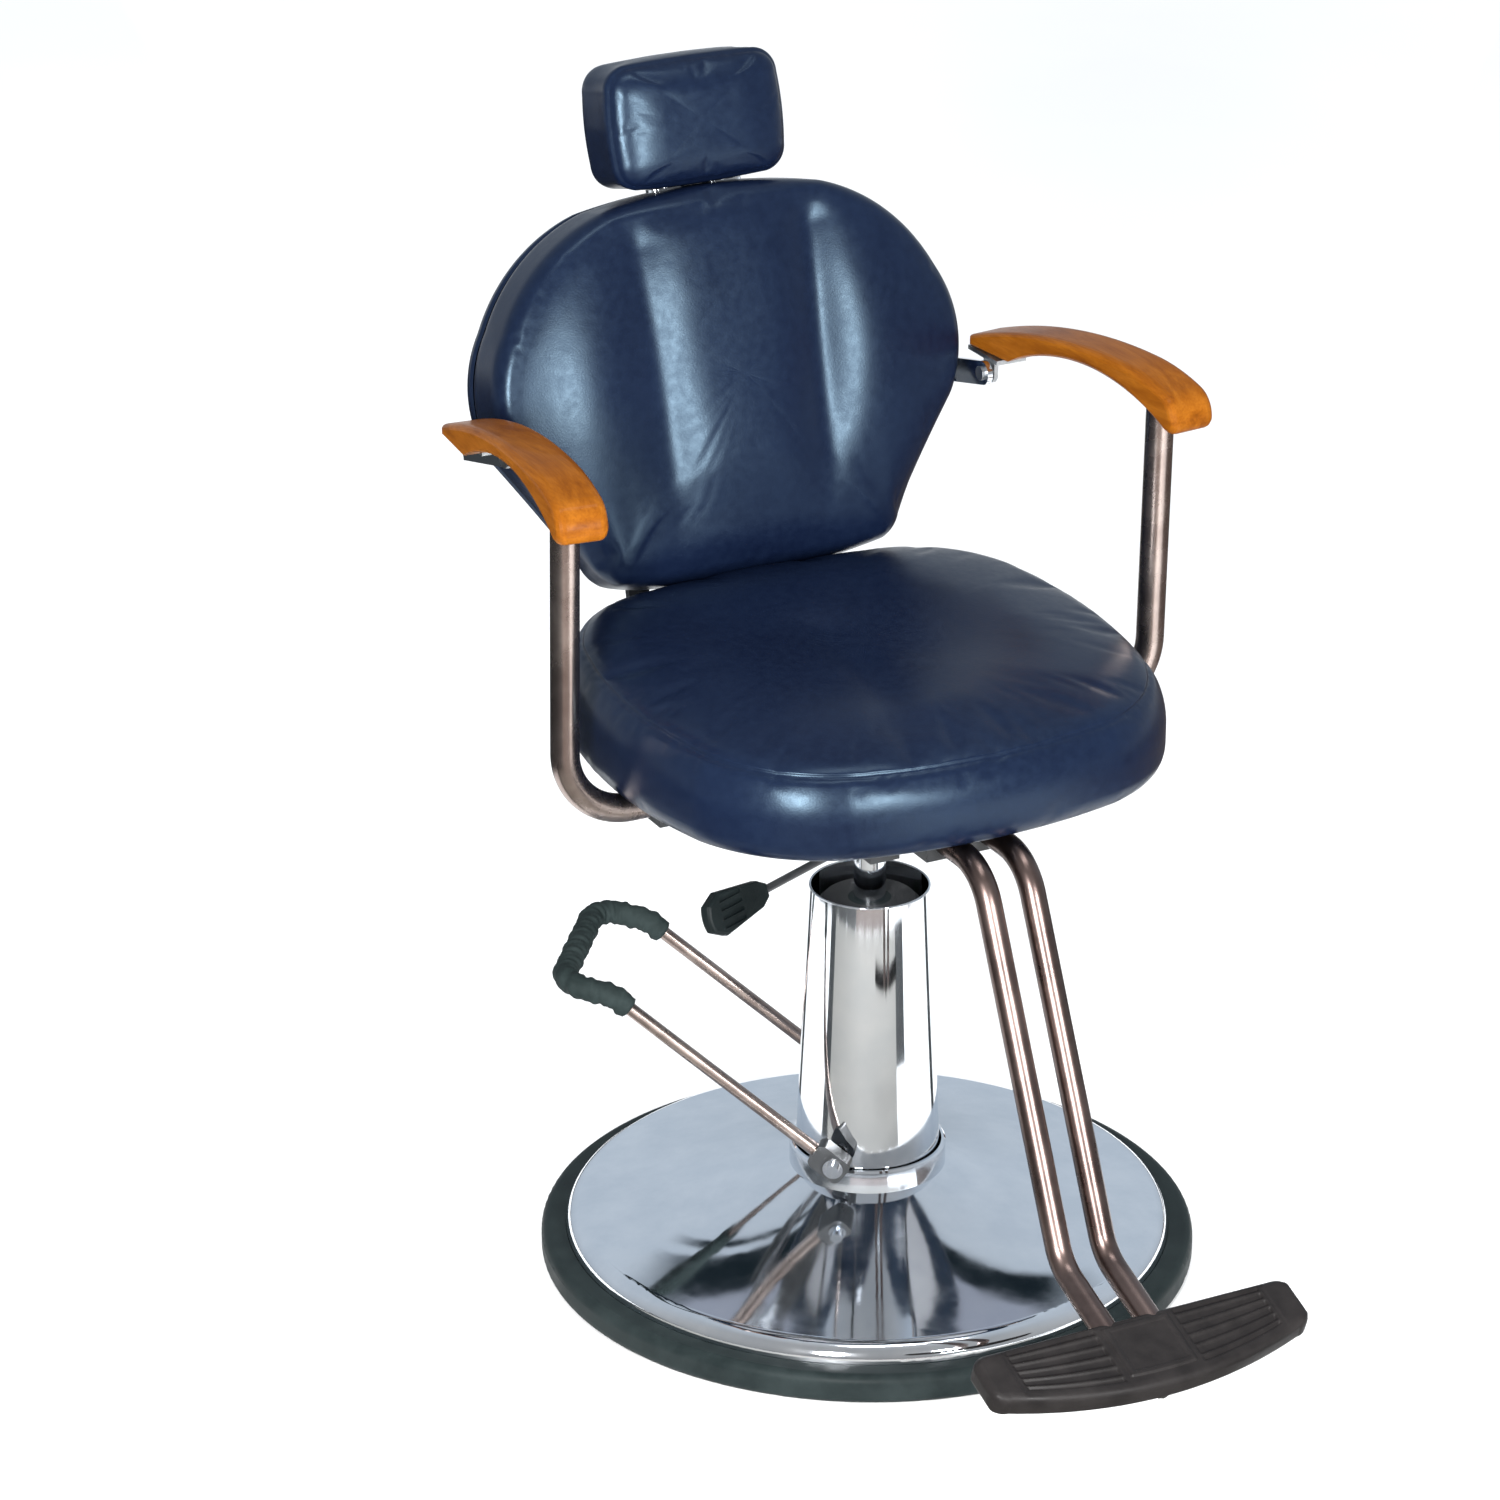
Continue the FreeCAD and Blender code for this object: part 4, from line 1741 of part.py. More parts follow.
for piece in doc.Objects:
    if "Invalid" in piece.State or "Error" in piece.State:
        raise RuntimeError("%s failed: %s" % (piece.Label, piece.State))
os.makedirs("parts", exist_ok=True)
for name in nodes:
    shape = finished[name].Shape
    if shape.isNull() or not shape.isValid():
        raise RuntimeError(name + " is not a valid shape")
    shape.exportStep("parts/%s.step" % name)
print(len(nodes), "nodes")
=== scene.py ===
import json
import math

import bpy
import numpy as np
from mathutils import Matrix, Vector


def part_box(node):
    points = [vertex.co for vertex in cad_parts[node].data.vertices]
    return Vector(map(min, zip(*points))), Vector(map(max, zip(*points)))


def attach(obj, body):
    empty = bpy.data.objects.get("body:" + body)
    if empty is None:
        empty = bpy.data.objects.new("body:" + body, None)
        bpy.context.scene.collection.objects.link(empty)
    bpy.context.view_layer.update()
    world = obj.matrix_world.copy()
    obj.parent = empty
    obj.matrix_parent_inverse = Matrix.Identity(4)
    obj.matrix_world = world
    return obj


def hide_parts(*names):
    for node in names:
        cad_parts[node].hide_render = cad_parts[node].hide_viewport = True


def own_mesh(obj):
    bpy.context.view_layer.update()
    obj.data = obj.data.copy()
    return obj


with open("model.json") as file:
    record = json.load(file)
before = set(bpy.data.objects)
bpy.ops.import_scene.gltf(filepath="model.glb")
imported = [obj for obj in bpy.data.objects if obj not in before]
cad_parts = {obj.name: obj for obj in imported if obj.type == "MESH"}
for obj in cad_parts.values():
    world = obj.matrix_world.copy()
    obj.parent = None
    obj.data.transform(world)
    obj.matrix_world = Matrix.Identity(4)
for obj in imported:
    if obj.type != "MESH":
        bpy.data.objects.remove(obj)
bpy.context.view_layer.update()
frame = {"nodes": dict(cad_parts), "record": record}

nodes = frame["nodes"]
scene = bpy.context.scene


# Objects and node trees

def add_object(name, data):
    added = bpy.data.objects.new(name, data)
    scene.collection.objects.link(added)
    return added


def add_mesh(name, points, faces, material):
    mesh = bpy.data.meshes.new(name)
    mesh.from_pydata([tuple(point) for point in points], [], faces)
    mesh.materials.append(material)
    return add_object(name, mesh)


def add_smooth_mesh(name, points, faces, material):
    piece = add_mesh(name, points, faces, material)
    piece.data.shade_smooth()
    piece.data.update()
    return piece


class Nodes:
    """Short ways to add nodes to a tree and to link them."""

    def __init__(self, tree):
        self.tree = tree

    def node(self, kind, **inputs):
        node = self.tree.nodes.new(kind)
        for name, value in inputs.items():
            node.inputs[name.replace("_", " ")].default_value = value
        return node

    def link(self, source, target):
        self.tree.links.new(source, target)

    def ramp(self, source, stops):
        """A colour ramp over the source, from positions and colours."""
        node = self.node("ShaderNodeValToRGB")
        elements = node.color_ramp.elements
        elements[0].position, elements[0].color = stops[0][0], stops[0][1] + (1,)
        elements[1].position, elements[1].color = stops[-1][0], stops[-1][1] + (1,)
        for position, color in stops[1:-1]:
            elements.new(position).color = color + (1,)
        self.link(source, node.inputs["Fac"])
        return node.outputs["Color"]

    def span(self, source, low, high, start=0.0, end=1.0):
        """The source's range from start to end, mapped to the range from low to high."""
        node = self.node("ShaderNodeMapRange", From_Min=start, From_Max=end, To_Min=low,
                         To_Max=high)
        self.link(source, node.inputs["Value"])
        return node.outputs[0]

    def mixed(self, factor, first, second, blend="MIX"):
        """Two colours mixed. Each of the three is a socket or a value."""
        node = self.node("ShaderNodeMix")
        node.data_type = "RGBA"
        node.blend_type = blend
        for source, socket in ((factor, "Factor"), (first, "A"), (second, "B")):
            if isinstance(source, tuple):
                node.inputs[socket].default_value = source + (1,)
            elif isinstance(source, float):
                node.inputs[socket].default_value = source
            else:
                self.link(source, node.inputs[socket])
        return node.outputs["Result"]


# Camera, at the photograph's viewing angle

CAMERA_PLACE = (-2.131429, -3.899216, 2.398976)
CAMERA_TURN = math.radians(-27.316)
CAMERA_TIP = math.radians(23.351)
CAMERA_LENS = 134.606
SENSOR_WIDTH = 36
CAMERA_REACH = 60


def add_camera():
    right = Vector((math.cos(CAMERA_TURN), math.sin(CAMERA_TURN), 0))
    ahead = Vector((-math.sin(CAMERA_TURN) * math.cos(CAMERA_TIP),
                    math.cos(CAMERA_TURN) * math.cos(CAMERA_TIP), -math.sin(CAMERA_TIP)))
    up = right.cross(ahead)
    data = bpy.data.cameras.new("camera")
    data.lens = CAMERA_LENS
    data.sensor_width = SENSOR_WIDTH
    data.clip_end = CAMERA_REACH
    camera = add_object("camera", data)
    frame_axes = Matrix((right, up, -ahead)).transposed().to_4x4()
    camera.matrix_world = Matrix.Translation(CAMERA_PLACE) @ frame_axes
    scene.camera = camera


# Studio: a world with walls, a ceiling and dark gaps between bright panels

# From the photograph's side to the far side, and across it
VIEW_ALONG = (0.459, 0.888, 0.0)
VIEW_ACROSS = (0.888, -0.459, 0.0)

# The studio's brightness from the camera's side to the far side, upwards, and across the far side
WALLS = [(0.0, (0.40, 0.40, 0.40)), (0.35, (0.50, 0.51, 0.52)), (0.62, (0.60, 0.66, 0.73)),
         (1.0, (0.62, 0.70, 0.79))]
CEILING = [(0.0, (0.75, 0.75, 0.75)), (0.12, (0.85, 0.85, 0.85)), (0.35, (0.92, 0.92, 0.92)),
           (0.62, (0.92, 0.92, 0.92)), (0.85, (0.85, 0.85, 0.85)), (1.0, (1.0, 1.0, 1.0))]
DARK = (0.02, 0.03, 0.035)
LIT = (1.0, 1.0, 1.0)
GREY = (0.62, 0.60, 0.64)
GAPS = [(0.0, LIT), (0.080, LIT), (0.0885, DARK), (0.106, DARK), (0.114, LIT), (0.136, LIT),
        (0.146, DARK), (0.268, DARK), (0.285, GREY), (0.778, GREY), (0.795, DARK), (0.875, DARK),
        (0.895, LIT), (1.0, LIT)]

# Where the gaps lie, as parts of a unit direction: across, upwards and along the view
GAPS_HALF_WIDTH = 0.24
GAPS_RISE = (0.58, 0.64)
GAPS_FAR = (0.3, 0.5)

# What the studio shows where nothing stands in front of it
PAPER = (0.97, 0.98, 1.0)


def add_world():
    """A pale studio: bright beyond the chair, dimmer in front, with gaps between its panels."""
    world = bpy.data.worlds.new("studio")
    scene.world = world
    world.use_nodes = True
    world.node_tree.nodes.clear()
    s = Nodes(world.node_tree)
    out = s.node("ShaderNodeOutputWorld")
    back = s.node("ShaderNodeBackground", Strength=1.0)
    ahead = s.node("ShaderNodeTexCoord").outputs["Generated"]
    split = s.node("ShaderNodeSeparateXYZ")
    s.link(ahead, split.inputs[0])
    upward = split.outputs["Z"]

    def along(direction):
        node = s.node("ShaderNodeVectorMath")
        node.operation = "DOT_PRODUCT"
        node.inputs[1].default_value = direction
        s.link(ahead, node.inputs[0])
        return node.outputs["Value"]

    walls = s.ramp(s.span(along(VIEW_ALONG), 0.0, 1.0, -1.0, 1.0), WALLS)
    ceiling = s.ramp(upward, CEILING)
    across = s.span(along(VIEW_ACROSS), 0.0, 1.0, -GAPS_HALF_WIDTH, GAPS_HALF_WIDTH)
    high = s.node("ShaderNodeMath")
    high.operation = "MULTIPLY"
    s.link(s.span(upward, 0.0, 1.0, *GAPS_RISE), high.inputs[0])
    s.link(s.span(along(VIEW_ALONG), 0.0, 1.0, *GAPS_FAR), high.inputs[1])
    color = s.mixed(1.0, walls, ceiling, "MULTIPLY")
    color = s.mixed(high.outputs[0], color, s.ramp(across, GAPS), "MULTIPLY")
    paper = s.node("ShaderNodeLightPath").outputs["Is Camera Ray"]
    s.link(s.mixed(paper, color, PAPER), back.inputs["Color"])
    s.link(back.outputs[0], out.inputs["Surface"])


# Lights, floor, and cards on it that show only in what gleams

SUN_POWER = 1.75
SUN_ANGLE = math.radians(120)

# Soft boxes: name, place, what they point at, width, height and power
BOXES = [("left_box", (-2.05, -2.35, 1.5), (0, 0, 0.75), 0.42, 1.0, 190),
         ("front_box", (0.1, -3.0, 1.3), (0, 0, 0.72), 0.44, 1.0, 115),
         ("top_strip", (0.1, -0.55, 3.0), (0, 0, 0.5), 1.5, 0.42, 16)]

FLOOR_REACH = 30.0

# Sectors round the column: their angles from the camera's side, their reach and colour
CARD_HEIGHT = 0.002
CARD_STEPS = 8
BEIGE = (0.22, 0.213, 0.195)
BLACK = (0.015, 0.017, 0.018)
BROWN = (0.10, 0.075, 0.065)
CARDS = [(-64, 45, 0.36, 0.95, BEIGE), (-74, -64, 0.31, 0.95, BLACK), (45, 60, 0.55, 0.95, BLACK),
         (118, 128, 0.31, 0.95, BLACK), (-150, -138, 0.31, 0.95, BLACK),
         (-165, -25, 0.95, 5.0, BLACK), (-25, 28, 0.95, 5.0, BROWN), (72, 165, 0.95, 5.0, BROWN)]


def add_sun():
    """An even, very soft light from above that doesn't show in what gleams."""
    data = bpy.data.lights.new("sun", "SUN")
    data.energy = SUN_POWER
    data.angle = SUN_ANGLE
    add_object("sun", data).visible_glossy = False


def add_box(name, place, target, width, height, power):
    data = bpy.data.lights.new(name, "AREA")
    data.shape = "RECTANGLE"
    data.size, data.size_y = width, height
    data.energy = power
    light = add_object(name, data)
    light.location = place
    light.rotation_euler = (Vector(target) - Vector(place)).to_track_quat("-Z", "Y").to_euler()


def add_floor():
    r = FLOOR_REACH
    corners = [(-r, -r, 0), (r, -r, 0), (r, r, 0), (-r, r, 0)]
    add_mesh("floor", corners, [(0, 1, 2, 3)], plain_floor())


def sector(start, end, near, far):
    """A sector's corners: its near arc, and its far arc back again."""
    toward = math.degrees(math.atan2(-VIEW_ALONG[1], -VIEW_ALONG[0]))
    turns = [math.radians(toward + start + (end - start) * i / CARD_STEPS)
             for i in range(CARD_STEPS + 1)]
    return [(reach * math.cos(turn), reach * math.sin(turn), CARD_HEIGHT)
            for reach, way in ((near, turns), (far, turns[::-1])) for turn in way]


def add_cards():
    for index, (start, end, near, far, color) in enumerate(CARDS):
        name = "card_%d" % index
        corners = sector(start, end, near, far)
        paper = Shader(name + "_paper", color, rough=0.9).material
        card = add_mesh(name, corners, [tuple(range(len(corners)))], paper)
        card.visible_camera = card.visible_diffuse = card.visible_shadow = False
        card.visible_transmission = card.visible_volume_scatter = False


# Materials

COAT_IOR = 1.3


class Shader(Nodes):
    """A Principled material with procedural detail in the object's own coordinates."""

    def __init__(self, name, color, rough, metal=0.0, coat=0.0, coat_rough=0.1, specular=0.5,
                 ior=1.5):
        self.material = bpy.data.materials.new(name)
        self.material.use_nodes = True
        super().__init__(self.material.node_tree)
        self.surface = self.tree.nodes["Principled BSDF"]
        self.set("Base Color", color + (1,))
        self.set("Roughness", rough)
        self.set("Metallic", metal)
        self.set("Coat Weight", coat)
        self.set("Coat Roughness", coat_rough)
        self.set("Specular IOR Level", specular)
        self.set("IOR", ior)
        self.set("Coat IOR", COAT_IOR)
        self.place = self.node("ShaderNodeTexCoord").outputs["Object"]
        self.normal = None

    def set(self, socket, value):
        self.surface.inputs[socket].default_value = value

    def stretched(self, scale):
        """The object's coordinates, with a scale for each axis."""
        mapping = self.node("ShaderNodeMapping", Scale=scale)
        self.link(self.place, mapping.inputs["Vector"])
        return mapping.outputs[0]

    def noise(self, scale, detail=3.0, rough=0.5, vector=None, distortion=0.0):
        node = self.node("ShaderNodeTexNoise", Scale=scale, Detail=detail, Roughness=rough,
                         Distortion=distortion)
        self.link(vector or self.place, node.inputs["Vector"])
        return node.outputs["Fac"]

    def cells(self, scale):
        node = self.node("ShaderNodeTexVoronoi", Scale=scale)
        node.feature = "SMOOTH_F1"
        self.link(self.place, node.inputs["Vector"])
        return node.outputs["Distance"]

    def color(self, source):
        self.link(source, self.surface.inputs["Base Color"])

    def roughness(self, source):
        self.link(source, self.surface.inputs["Roughness"])

    def bump(self, source, depth, strength):
        """Adds a bump, on top of the one before it where there is one."""
        node = self.node("ShaderNodeBump", Strength=strength, Distance=depth)
        self.link(source, node.inputs["Height"])
        if self.normal:
            self.link(self.normal, node.inputs["Normal"])
        self.normal = node.outputs["Normal"]
        self.link(self.normal, self.surface.inputs["Normal"])


def plain_floor():
    s = Shader("floor_paper", (0.9, 0.9, 0.89), rough=0.7)
    s.color(s.ramp(s.noise(scale=1.2), [(0.3, (0.88, 0.88, 0.875)), (0.7, (0.92, 0.92, 0.915))]))
    return s.material


def leather():
    s = Shader("navy_leather", (0.006, 0.012, 0.03), rough=0.27, specular=1.0, ior=1.25)
    # Painted light colour: the specular tint gives the leather's highlights and sheen the blue of
    # the studio's light
    s.set("Specular Tint", (0.55, 0.80, 1.0, 1))
    broad = s.noise(scale=7.0, rough=0.55)
    fine = s.noise(scale=120.0, rough=0.6)
    tone = s.ramp(broad, [(0.3, (0.0016, 0.0034, 0.0125)), (0.7, (0.0029, 0.0060, 0.0185))])
    worn = s.span(fine, 0.0, 0.35, start=0.35, end=0.75)
    s.color(s.mixed(worn, tone, (0.0050, 0.0100, 0.027)))
    s.roughness(s.span(fine, 0.28, 0.35, start=0.3, end=0.7))
    s.bump(s.cells(scale=620.0), depth=0.00015, strength=0.25)
    s.bump(s.noise(scale=38.0, detail=2.0), depth=0.0006, strength=0.2)
    return s.material


def chrome(name, color, dark, rough):
    """Polished metal with faint smudges; rough gives the roughness of its clean and dull spots."""
    s = Shader(name, color, rough=0.07, metal=1.0)
    smudge = s.noise(scale=22.0, detail=4.0, rough=0.6)
    s.color(s.ramp(smudge, [(0.35, dark), (0.65, color)]))
    s.roughness(s.span(smudge, *rough, start=0.35, end=0.75))
    s.bump(s.noise(scale=9.0, detail=1.0), depth=0.0006, strength=0.12)
    return s.material


def rubber(name, color, pale, rough):
    s = Shader(name, color, rough, specular=0.4, ior=1.2)
    worn = s.noise(scale=30.0, detail=4.0, rough=0.6)
    s.color(s.ramp(worn, [(0.3, color), (0.75, pale)]))
    s.roughness(s.span(worn, rough - 0.1, rough + 0.12, start=0.3, end=0.7))
    s.bump(s.noise(scale=700.0, detail=2.0), depth=0.00015, strength=0.4)
    return s.material


def varnished_wood():
    s = Shader("varnished_wood", (0.6, 0.24, 0.05), rough=0.34, coat=0.12, coat_rough=0.06,
               specular=0.15, ior=1.2)
    bands = s.noise(scale=2.4, detail=5.0, rough=0.6, vector=s.stretched((26.0, 3.2, 26.0)),
                    distortion=0.5)
    fibres = s.noise(scale=9.0, detail=6.0, rough=0.7, vector=s.stretched((60.0, 2.2, 60.0)))
    tone = s.ramp(bands, [(0.25, (0.105, 0.028, 0.0022)), (0.45, (0.170, 0.051, 0.0036)),
                          (0.62, (0.215, 0.070, 0.0060)), (0.8, (0.135, 0.037, 0.0028))])
    grain = s.span(fibres, 0.0, 0.5, start=0.42, end=0.8)
    s.color(s.mixed(grain, tone, (0.070, 0.017, 0.0014)))
    s.roughness(s.span(fibres, 0.26, 0.42))
    s.bump(fibres, depth=0.0001, strength=0.15)
    return s.material


def metal(name, color, dark, rough, scale=40.0, metallic=1.0, grain=0.0002):
    s = Shader(name, color, rough, metal=metallic)
    wear = s.noise(scale, detail=5.0, rough=0.65)
    s.color(s.ramp(wear, [(0.3, dark), (0.7, color)]))
    s.roughness(s.span(wear, rough - 0.08, rough + 0.1, start=0.3, end=0.7))
    s.bump(s.noise(scale * 12), depth=grain, strength=0.35)
    return s.material


def plywood(name, pale, deep, glue):
    s = Shader(name, pale, rough=0.65)
    plies = s.noise(scale=1.0, detail=2.0, vector=s.stretched((3.0, 3.0, 700.0)))
    figure = s.noise(scale=6.0, detail=5.0, rough=0.6, vector=s.stretched((2.0, 18.0, 18.0)))
    tone = s.ramp(figure, [(0.3, deep), (0.7, pale)])
    s.color(s.mixed(s.span(plies, 0.0, 0.5, start=0.45, end=0.6), tone, glue))
    s.bump(figure, depth=0.0003, strength=0.4)
    return s.material


def plastic(name, dark, pale):
    s = Shader(name, pale, rough=0.42, specular=0.6, ior=1.22)
    scuffs = s.noise(scale=26.0, detail=5.0, rough=0.65)
    s.color(s.ramp(scuffs, [(0.3, dark), (0.7, pale)]))
    s.roughness(s.span(scuffs, 0.36, 0.58, start=0.3, end=0.7))
    s.bump(s.noise(scale=420.0, rough=0.6), depth=0.00028, strength=0.5)
    return s.material


MATERIALS = {
    "black_rubber": rubber("ring_rubber", (0.007, 0.011, 0.0115), (0.018, 0.025, 0.0255),
                           rough=0.48),
    "grip_foam": rubber("grip_foam", (0.008, 0.013, 0.013), (0.022, 0.031, 0.031), rough=0.72),
    "chrome": chrome("chrome", (0.80, 0.83, 0.87), (0.72, 0.76, 0.81), rough=(0.035, 0.11)),
    # The two tube chromes' dark brown colours are a painted reflection of dark brown surroundings,
    # darker still on the dark tube
    "tube_chrome": chrome("tube_chrome", (0.40, 0.335, 0.305), (0.27, 0.215, 0.195),
                          rough=(0.24, 0.32)),
    "dark_tube": chrome("dark_tube", (0.17, 0.125, 0.113), (0.10, 0.072, 0.066),
                        rough=(0.27, 0.34)),
    "plate_steel": metal("plate_steel", (0.46, 0.47, 0.48), (0.30, 0.31, 0.32), rough=0.36),
    "cast_iron": metal("cast_iron", (0.055, 0.056, 0.058), (0.025, 0.026, 0.028), rough=0.6,
                       scale=90.0, metallic=0.6, grain=0.0006),
    "bolt_steel": metal("bolt_steel", (0.60, 0.61, 0.63), (0.38, 0.38, 0.39), rough=0.26,
                        scale=120.0),
    "bronze_bush": metal("bronze", (0.55, 0.36, 0.14), (0.35, 0.20, 0.07), rough=0.32),
    "spring_steel": metal("spring_steel", (0.38, 0.39, 0.41), (0.22, 0.23, 0.25), rough=0.3,
                          scale=80.0),
    "black_metal": metal("black_paint", (0.022, 0.024, 0.026), (0.010, 0.011, 0.012), rough=0.34,
                         scale=60.0, metallic=0.0, grain=0.00025),
    "plywood": plywood("plywood", (0.62, 0.44, 0.26), (0.42, 0.27, 0.14), (0.30, 0.18, 0.09)),
    "grey_board": plywood("grey_board", (0.52, 0.52, 0.53), (0.40, 0.40, 0.42),
                          (0.30, 0.30, 0.31)),
    "navy_leather": leather(),
    "arm_wood": varnished_wood(),
    "black_plastic": plastic("moulded_plastic", (0.006, 0.0052, 0.0053), (0.014, 0.0122, 0.0120)),
    "paddle_plastic": plastic("paddle_plastic", (0.0015, 0.003, 0.0034), (0.004, 0.007, 0.0075)),
}

# Pieces that look different from others of their slot; on the arm posts, pump lever and footrest
# tubes the darker brown is a painted reflection
OWN_FINISH_AND_PAINTED_REFLECTION = {"seat_board": "grey_board", "release_paddle": "paddle_plastic",
              "arm_post_left": "tube_chrome", "arm_post_right": "tube_chrome",
              "pump_lever": "tube_chrome", "footrest_tube_left": "dark_tube",
              "footrest_tube_right": "dark_tube"}


def dress_nodes():
    for row in frame["record"]["subparts"]:
        node = nodes[row["node"]]
        node.data.materials.clear()
        node.data.materials.append(MATERIALS[OWN_FINISH_AND_PAINTED_REFLECTION.get(row["node"], row["material_slot"])])


# Outlines

def arc(first, via, last, count):
    """Points on the circle or line through three points, without the last."""
    (ax, ay), (bx, by), (cx, cy) = first, via, last
    d = 2 * (ax * (by - cy) + bx * (cy - ay) + cx * (ay - by))
    if abs(d) < 1e-12:
        return [(ax + (cx - ax) * i / count, ay + (cy - ay) * i / count) for i in range(count)]
    ux = ((ax * ax + ay * ay) * (by - cy) + (bx * bx + by * by) * (cy - ay)
          + (cx * cx + cy * cy) * (ay - by)) / d
    uy = ((ax * ax + ay * ay) * (cx - bx) + (bx * bx + by * by) * (ax - cx)
          + (cx * cx + cy * cy) * (bx - ax)) / d
    start, end = math.atan2(ay - uy, ax - ux), math.atan2(cy - uy, cx - ux)
    if (bx - ax) * (cy - ay) - (by - ay) * (cx - ax) > 0:
        end += 2 * math.pi if end < start else 0
    else:
        end -= 2 * math.pi if end > start else 0
    radius = math.hypot(ax - ux, ay - uy)
    return [(ux + radius * math.cos(start + (end - start) * i / count),
             uy + radius * math.sin(start + (end - start) * i / count)) for i in range(count)]


def even(points, count):
    """The closed line through the points, divided evenly."""
    points = np.array(points)
    closed = np.vstack([points, points[:1]])
    run = np.concatenate([[0], np.cumsum(np.hypot(*np.diff(closed, axis=0).T))])
    spots = np.linspace(0, run[-1], count, endpoint=False)
    return np.stack([np.interp(spots, run, closed[:, k]) for k in (0, 1)], axis=1)


# How finely the arcs of an outline are cut before it is divided evenly
CORNER_CUTS = 30
SIDE_CUTS = 40
TOP_CUTS = 60


def pillow_outline(a, b, shares, count):
    """Four bowed sides and four round corners, each corner from three shares of a and b."""
    (sx, sy), _, (tx, ty) = shares
    line = arc((a * sx, -b * sy), (a, 0), (a * sx, b * sy), SIDE_CUTS)
    quarters = [(1, 1), (-1, 1), (-1, -1), (1, -1)]
    ends = [((0, b), (-1, 1)), ((-a, 0), (-1, -1)), ((0, -b), (1, -1))]
    for index, (px, py) in enumerate(quarters):
        order = shares if index % 2 == 0 else shares[::-1]
        spots = [(a * px * x, b * py * y) for x, y in order]
        line += arc(*spots, CORNER_CUTS)
        if index < len(ends):
            via, (qx, qy) = ends[index]
            share = (tx, ty) if index % 2 == 0 else (sx, sy)
            line += arc(spots[2], via, (a * qx * share[0], b * qy * share[1]), SIDE_CUTS)
    return even(line, count)


# The back's right side from its foot to its top, as shares of its half width and half height
BACK_SHARES = [(0.571, -1.0), (0.616, -0.970), (0.656, -0.893), (0.795, -0.606), (0.9375, -0.325),
               (1.0, 0.033), (0.924, 0.391), (0.750, 0.719), (0.469, 0.940)]


def apple_outline(a, b, count):
    """The back's outline: its right side, round top, left side and straight foot."""
    spots = [(a * x, b * y) for x, y in BACK_SHARES]
    mirrored = [(-x, y) for x, y in spots]
    line = []
    for i in range(0, 8, 2):
        line += arc(spots[i], spots[i + 1], spots[i + 2], CORNER_CUTS)
    line += arc(spots[8], (0, b), mirrored[8], TOP_CUTS)
    for i in range(8, 0, -2):
        line += arc(mirrored[i], mirrored[i - 1], mirrored[i - 2], CORNER_CUTS)
    line += arc(mirrored[0], (0, -b), spots[0], SIDE_CUTS)
    return even(line, count)


NORMAL_PASSES = 30


def normals_2d(outline):
    """Outward directions, smoothed so that corners don't fold when the outline shrinks."""
    ahead = np.roll(outline, -1, axis=0) - np.roll(outline, 1, axis=0)
    out = np.stack([ahead[:, 1], -ahead[:, 0]], axis=1)
    for _ in range(NORMAL_PASSES):
        out = (np.roll(out, 1, axis=0) + 2 * out + np.roll(out, -1, axis=0)) / 4
    return out / np.linalg.norm(out, axis=1)[:, None]


# The part of the outline's reach over which moving along the normals gives way to scaling
EDGE_SHARE = 0.35


def shrunk(outline, inset):
    """The outline moved inwards, along its normals near the edge and by scale further in."""
    centre = (outline.max(0) + outline.min(0)) / 2
    along = outline - normals_2d(outline) * inset
    reach = np.abs(outline - centre).max()
    scaled = centre + (outline - centre) * max(0.0, 1 - inset / reach)
    share = min(1.0, inset / (reach * EDGE_SHARE))
    return along * (1 - share) + scaled * share


# Shells and what shapes them

def shell(name, rings, material, caps=(True, True)):
    """A smooth form through rings of equally many points, with a point at each capped end."""
    count = len(rings[0])
    points = np.vstack(rings)
    faces = []
    for ring in range(len(rings) - 1):
        for i in range(count):
            j = (i + 1) % count
            faces.append((ring * count + i, ring * count + j, (ring + 1) * count + j,
                          (ring + 1) * count + i))
    for at, ring, flip in ((caps[0], 0, True), (caps[1], len(rings) - 1, False)):
        if at:
            middle = len(points)
            points = np.vstack([points, rings[ring].mean(0)])
            for i in range(count):
                j = (i + 1) % count
                trio = (ring * count + i, ring * count + j, middle)
                faces.append(trio[::-1] if flip else trio)
    return add_smooth_mesh(name, points, faces, material)


def coordinates(piece):
    co = np.zeros(len(piece.data.vertices) * 3)
    piece.data.vertices.foreach_get("co", co)
    return co.reshape(-1, 3)


def set_coordinates(piece, co):
    piece.data.vertices.foreach_set("co", co.ravel())
    piece.data.update()


def held_points(piece, count, rings, single=()):
    """Marks whole rings of count points, and single points, as sewn or nailed."""
    held = np.zeros(len(piece.data.vertices), bool)
    for ring in rings:
        held[ring * count:(ring + 1) * count] = True
    held[list(single)] = True
    return held


CLOTH_FRAMES = 20


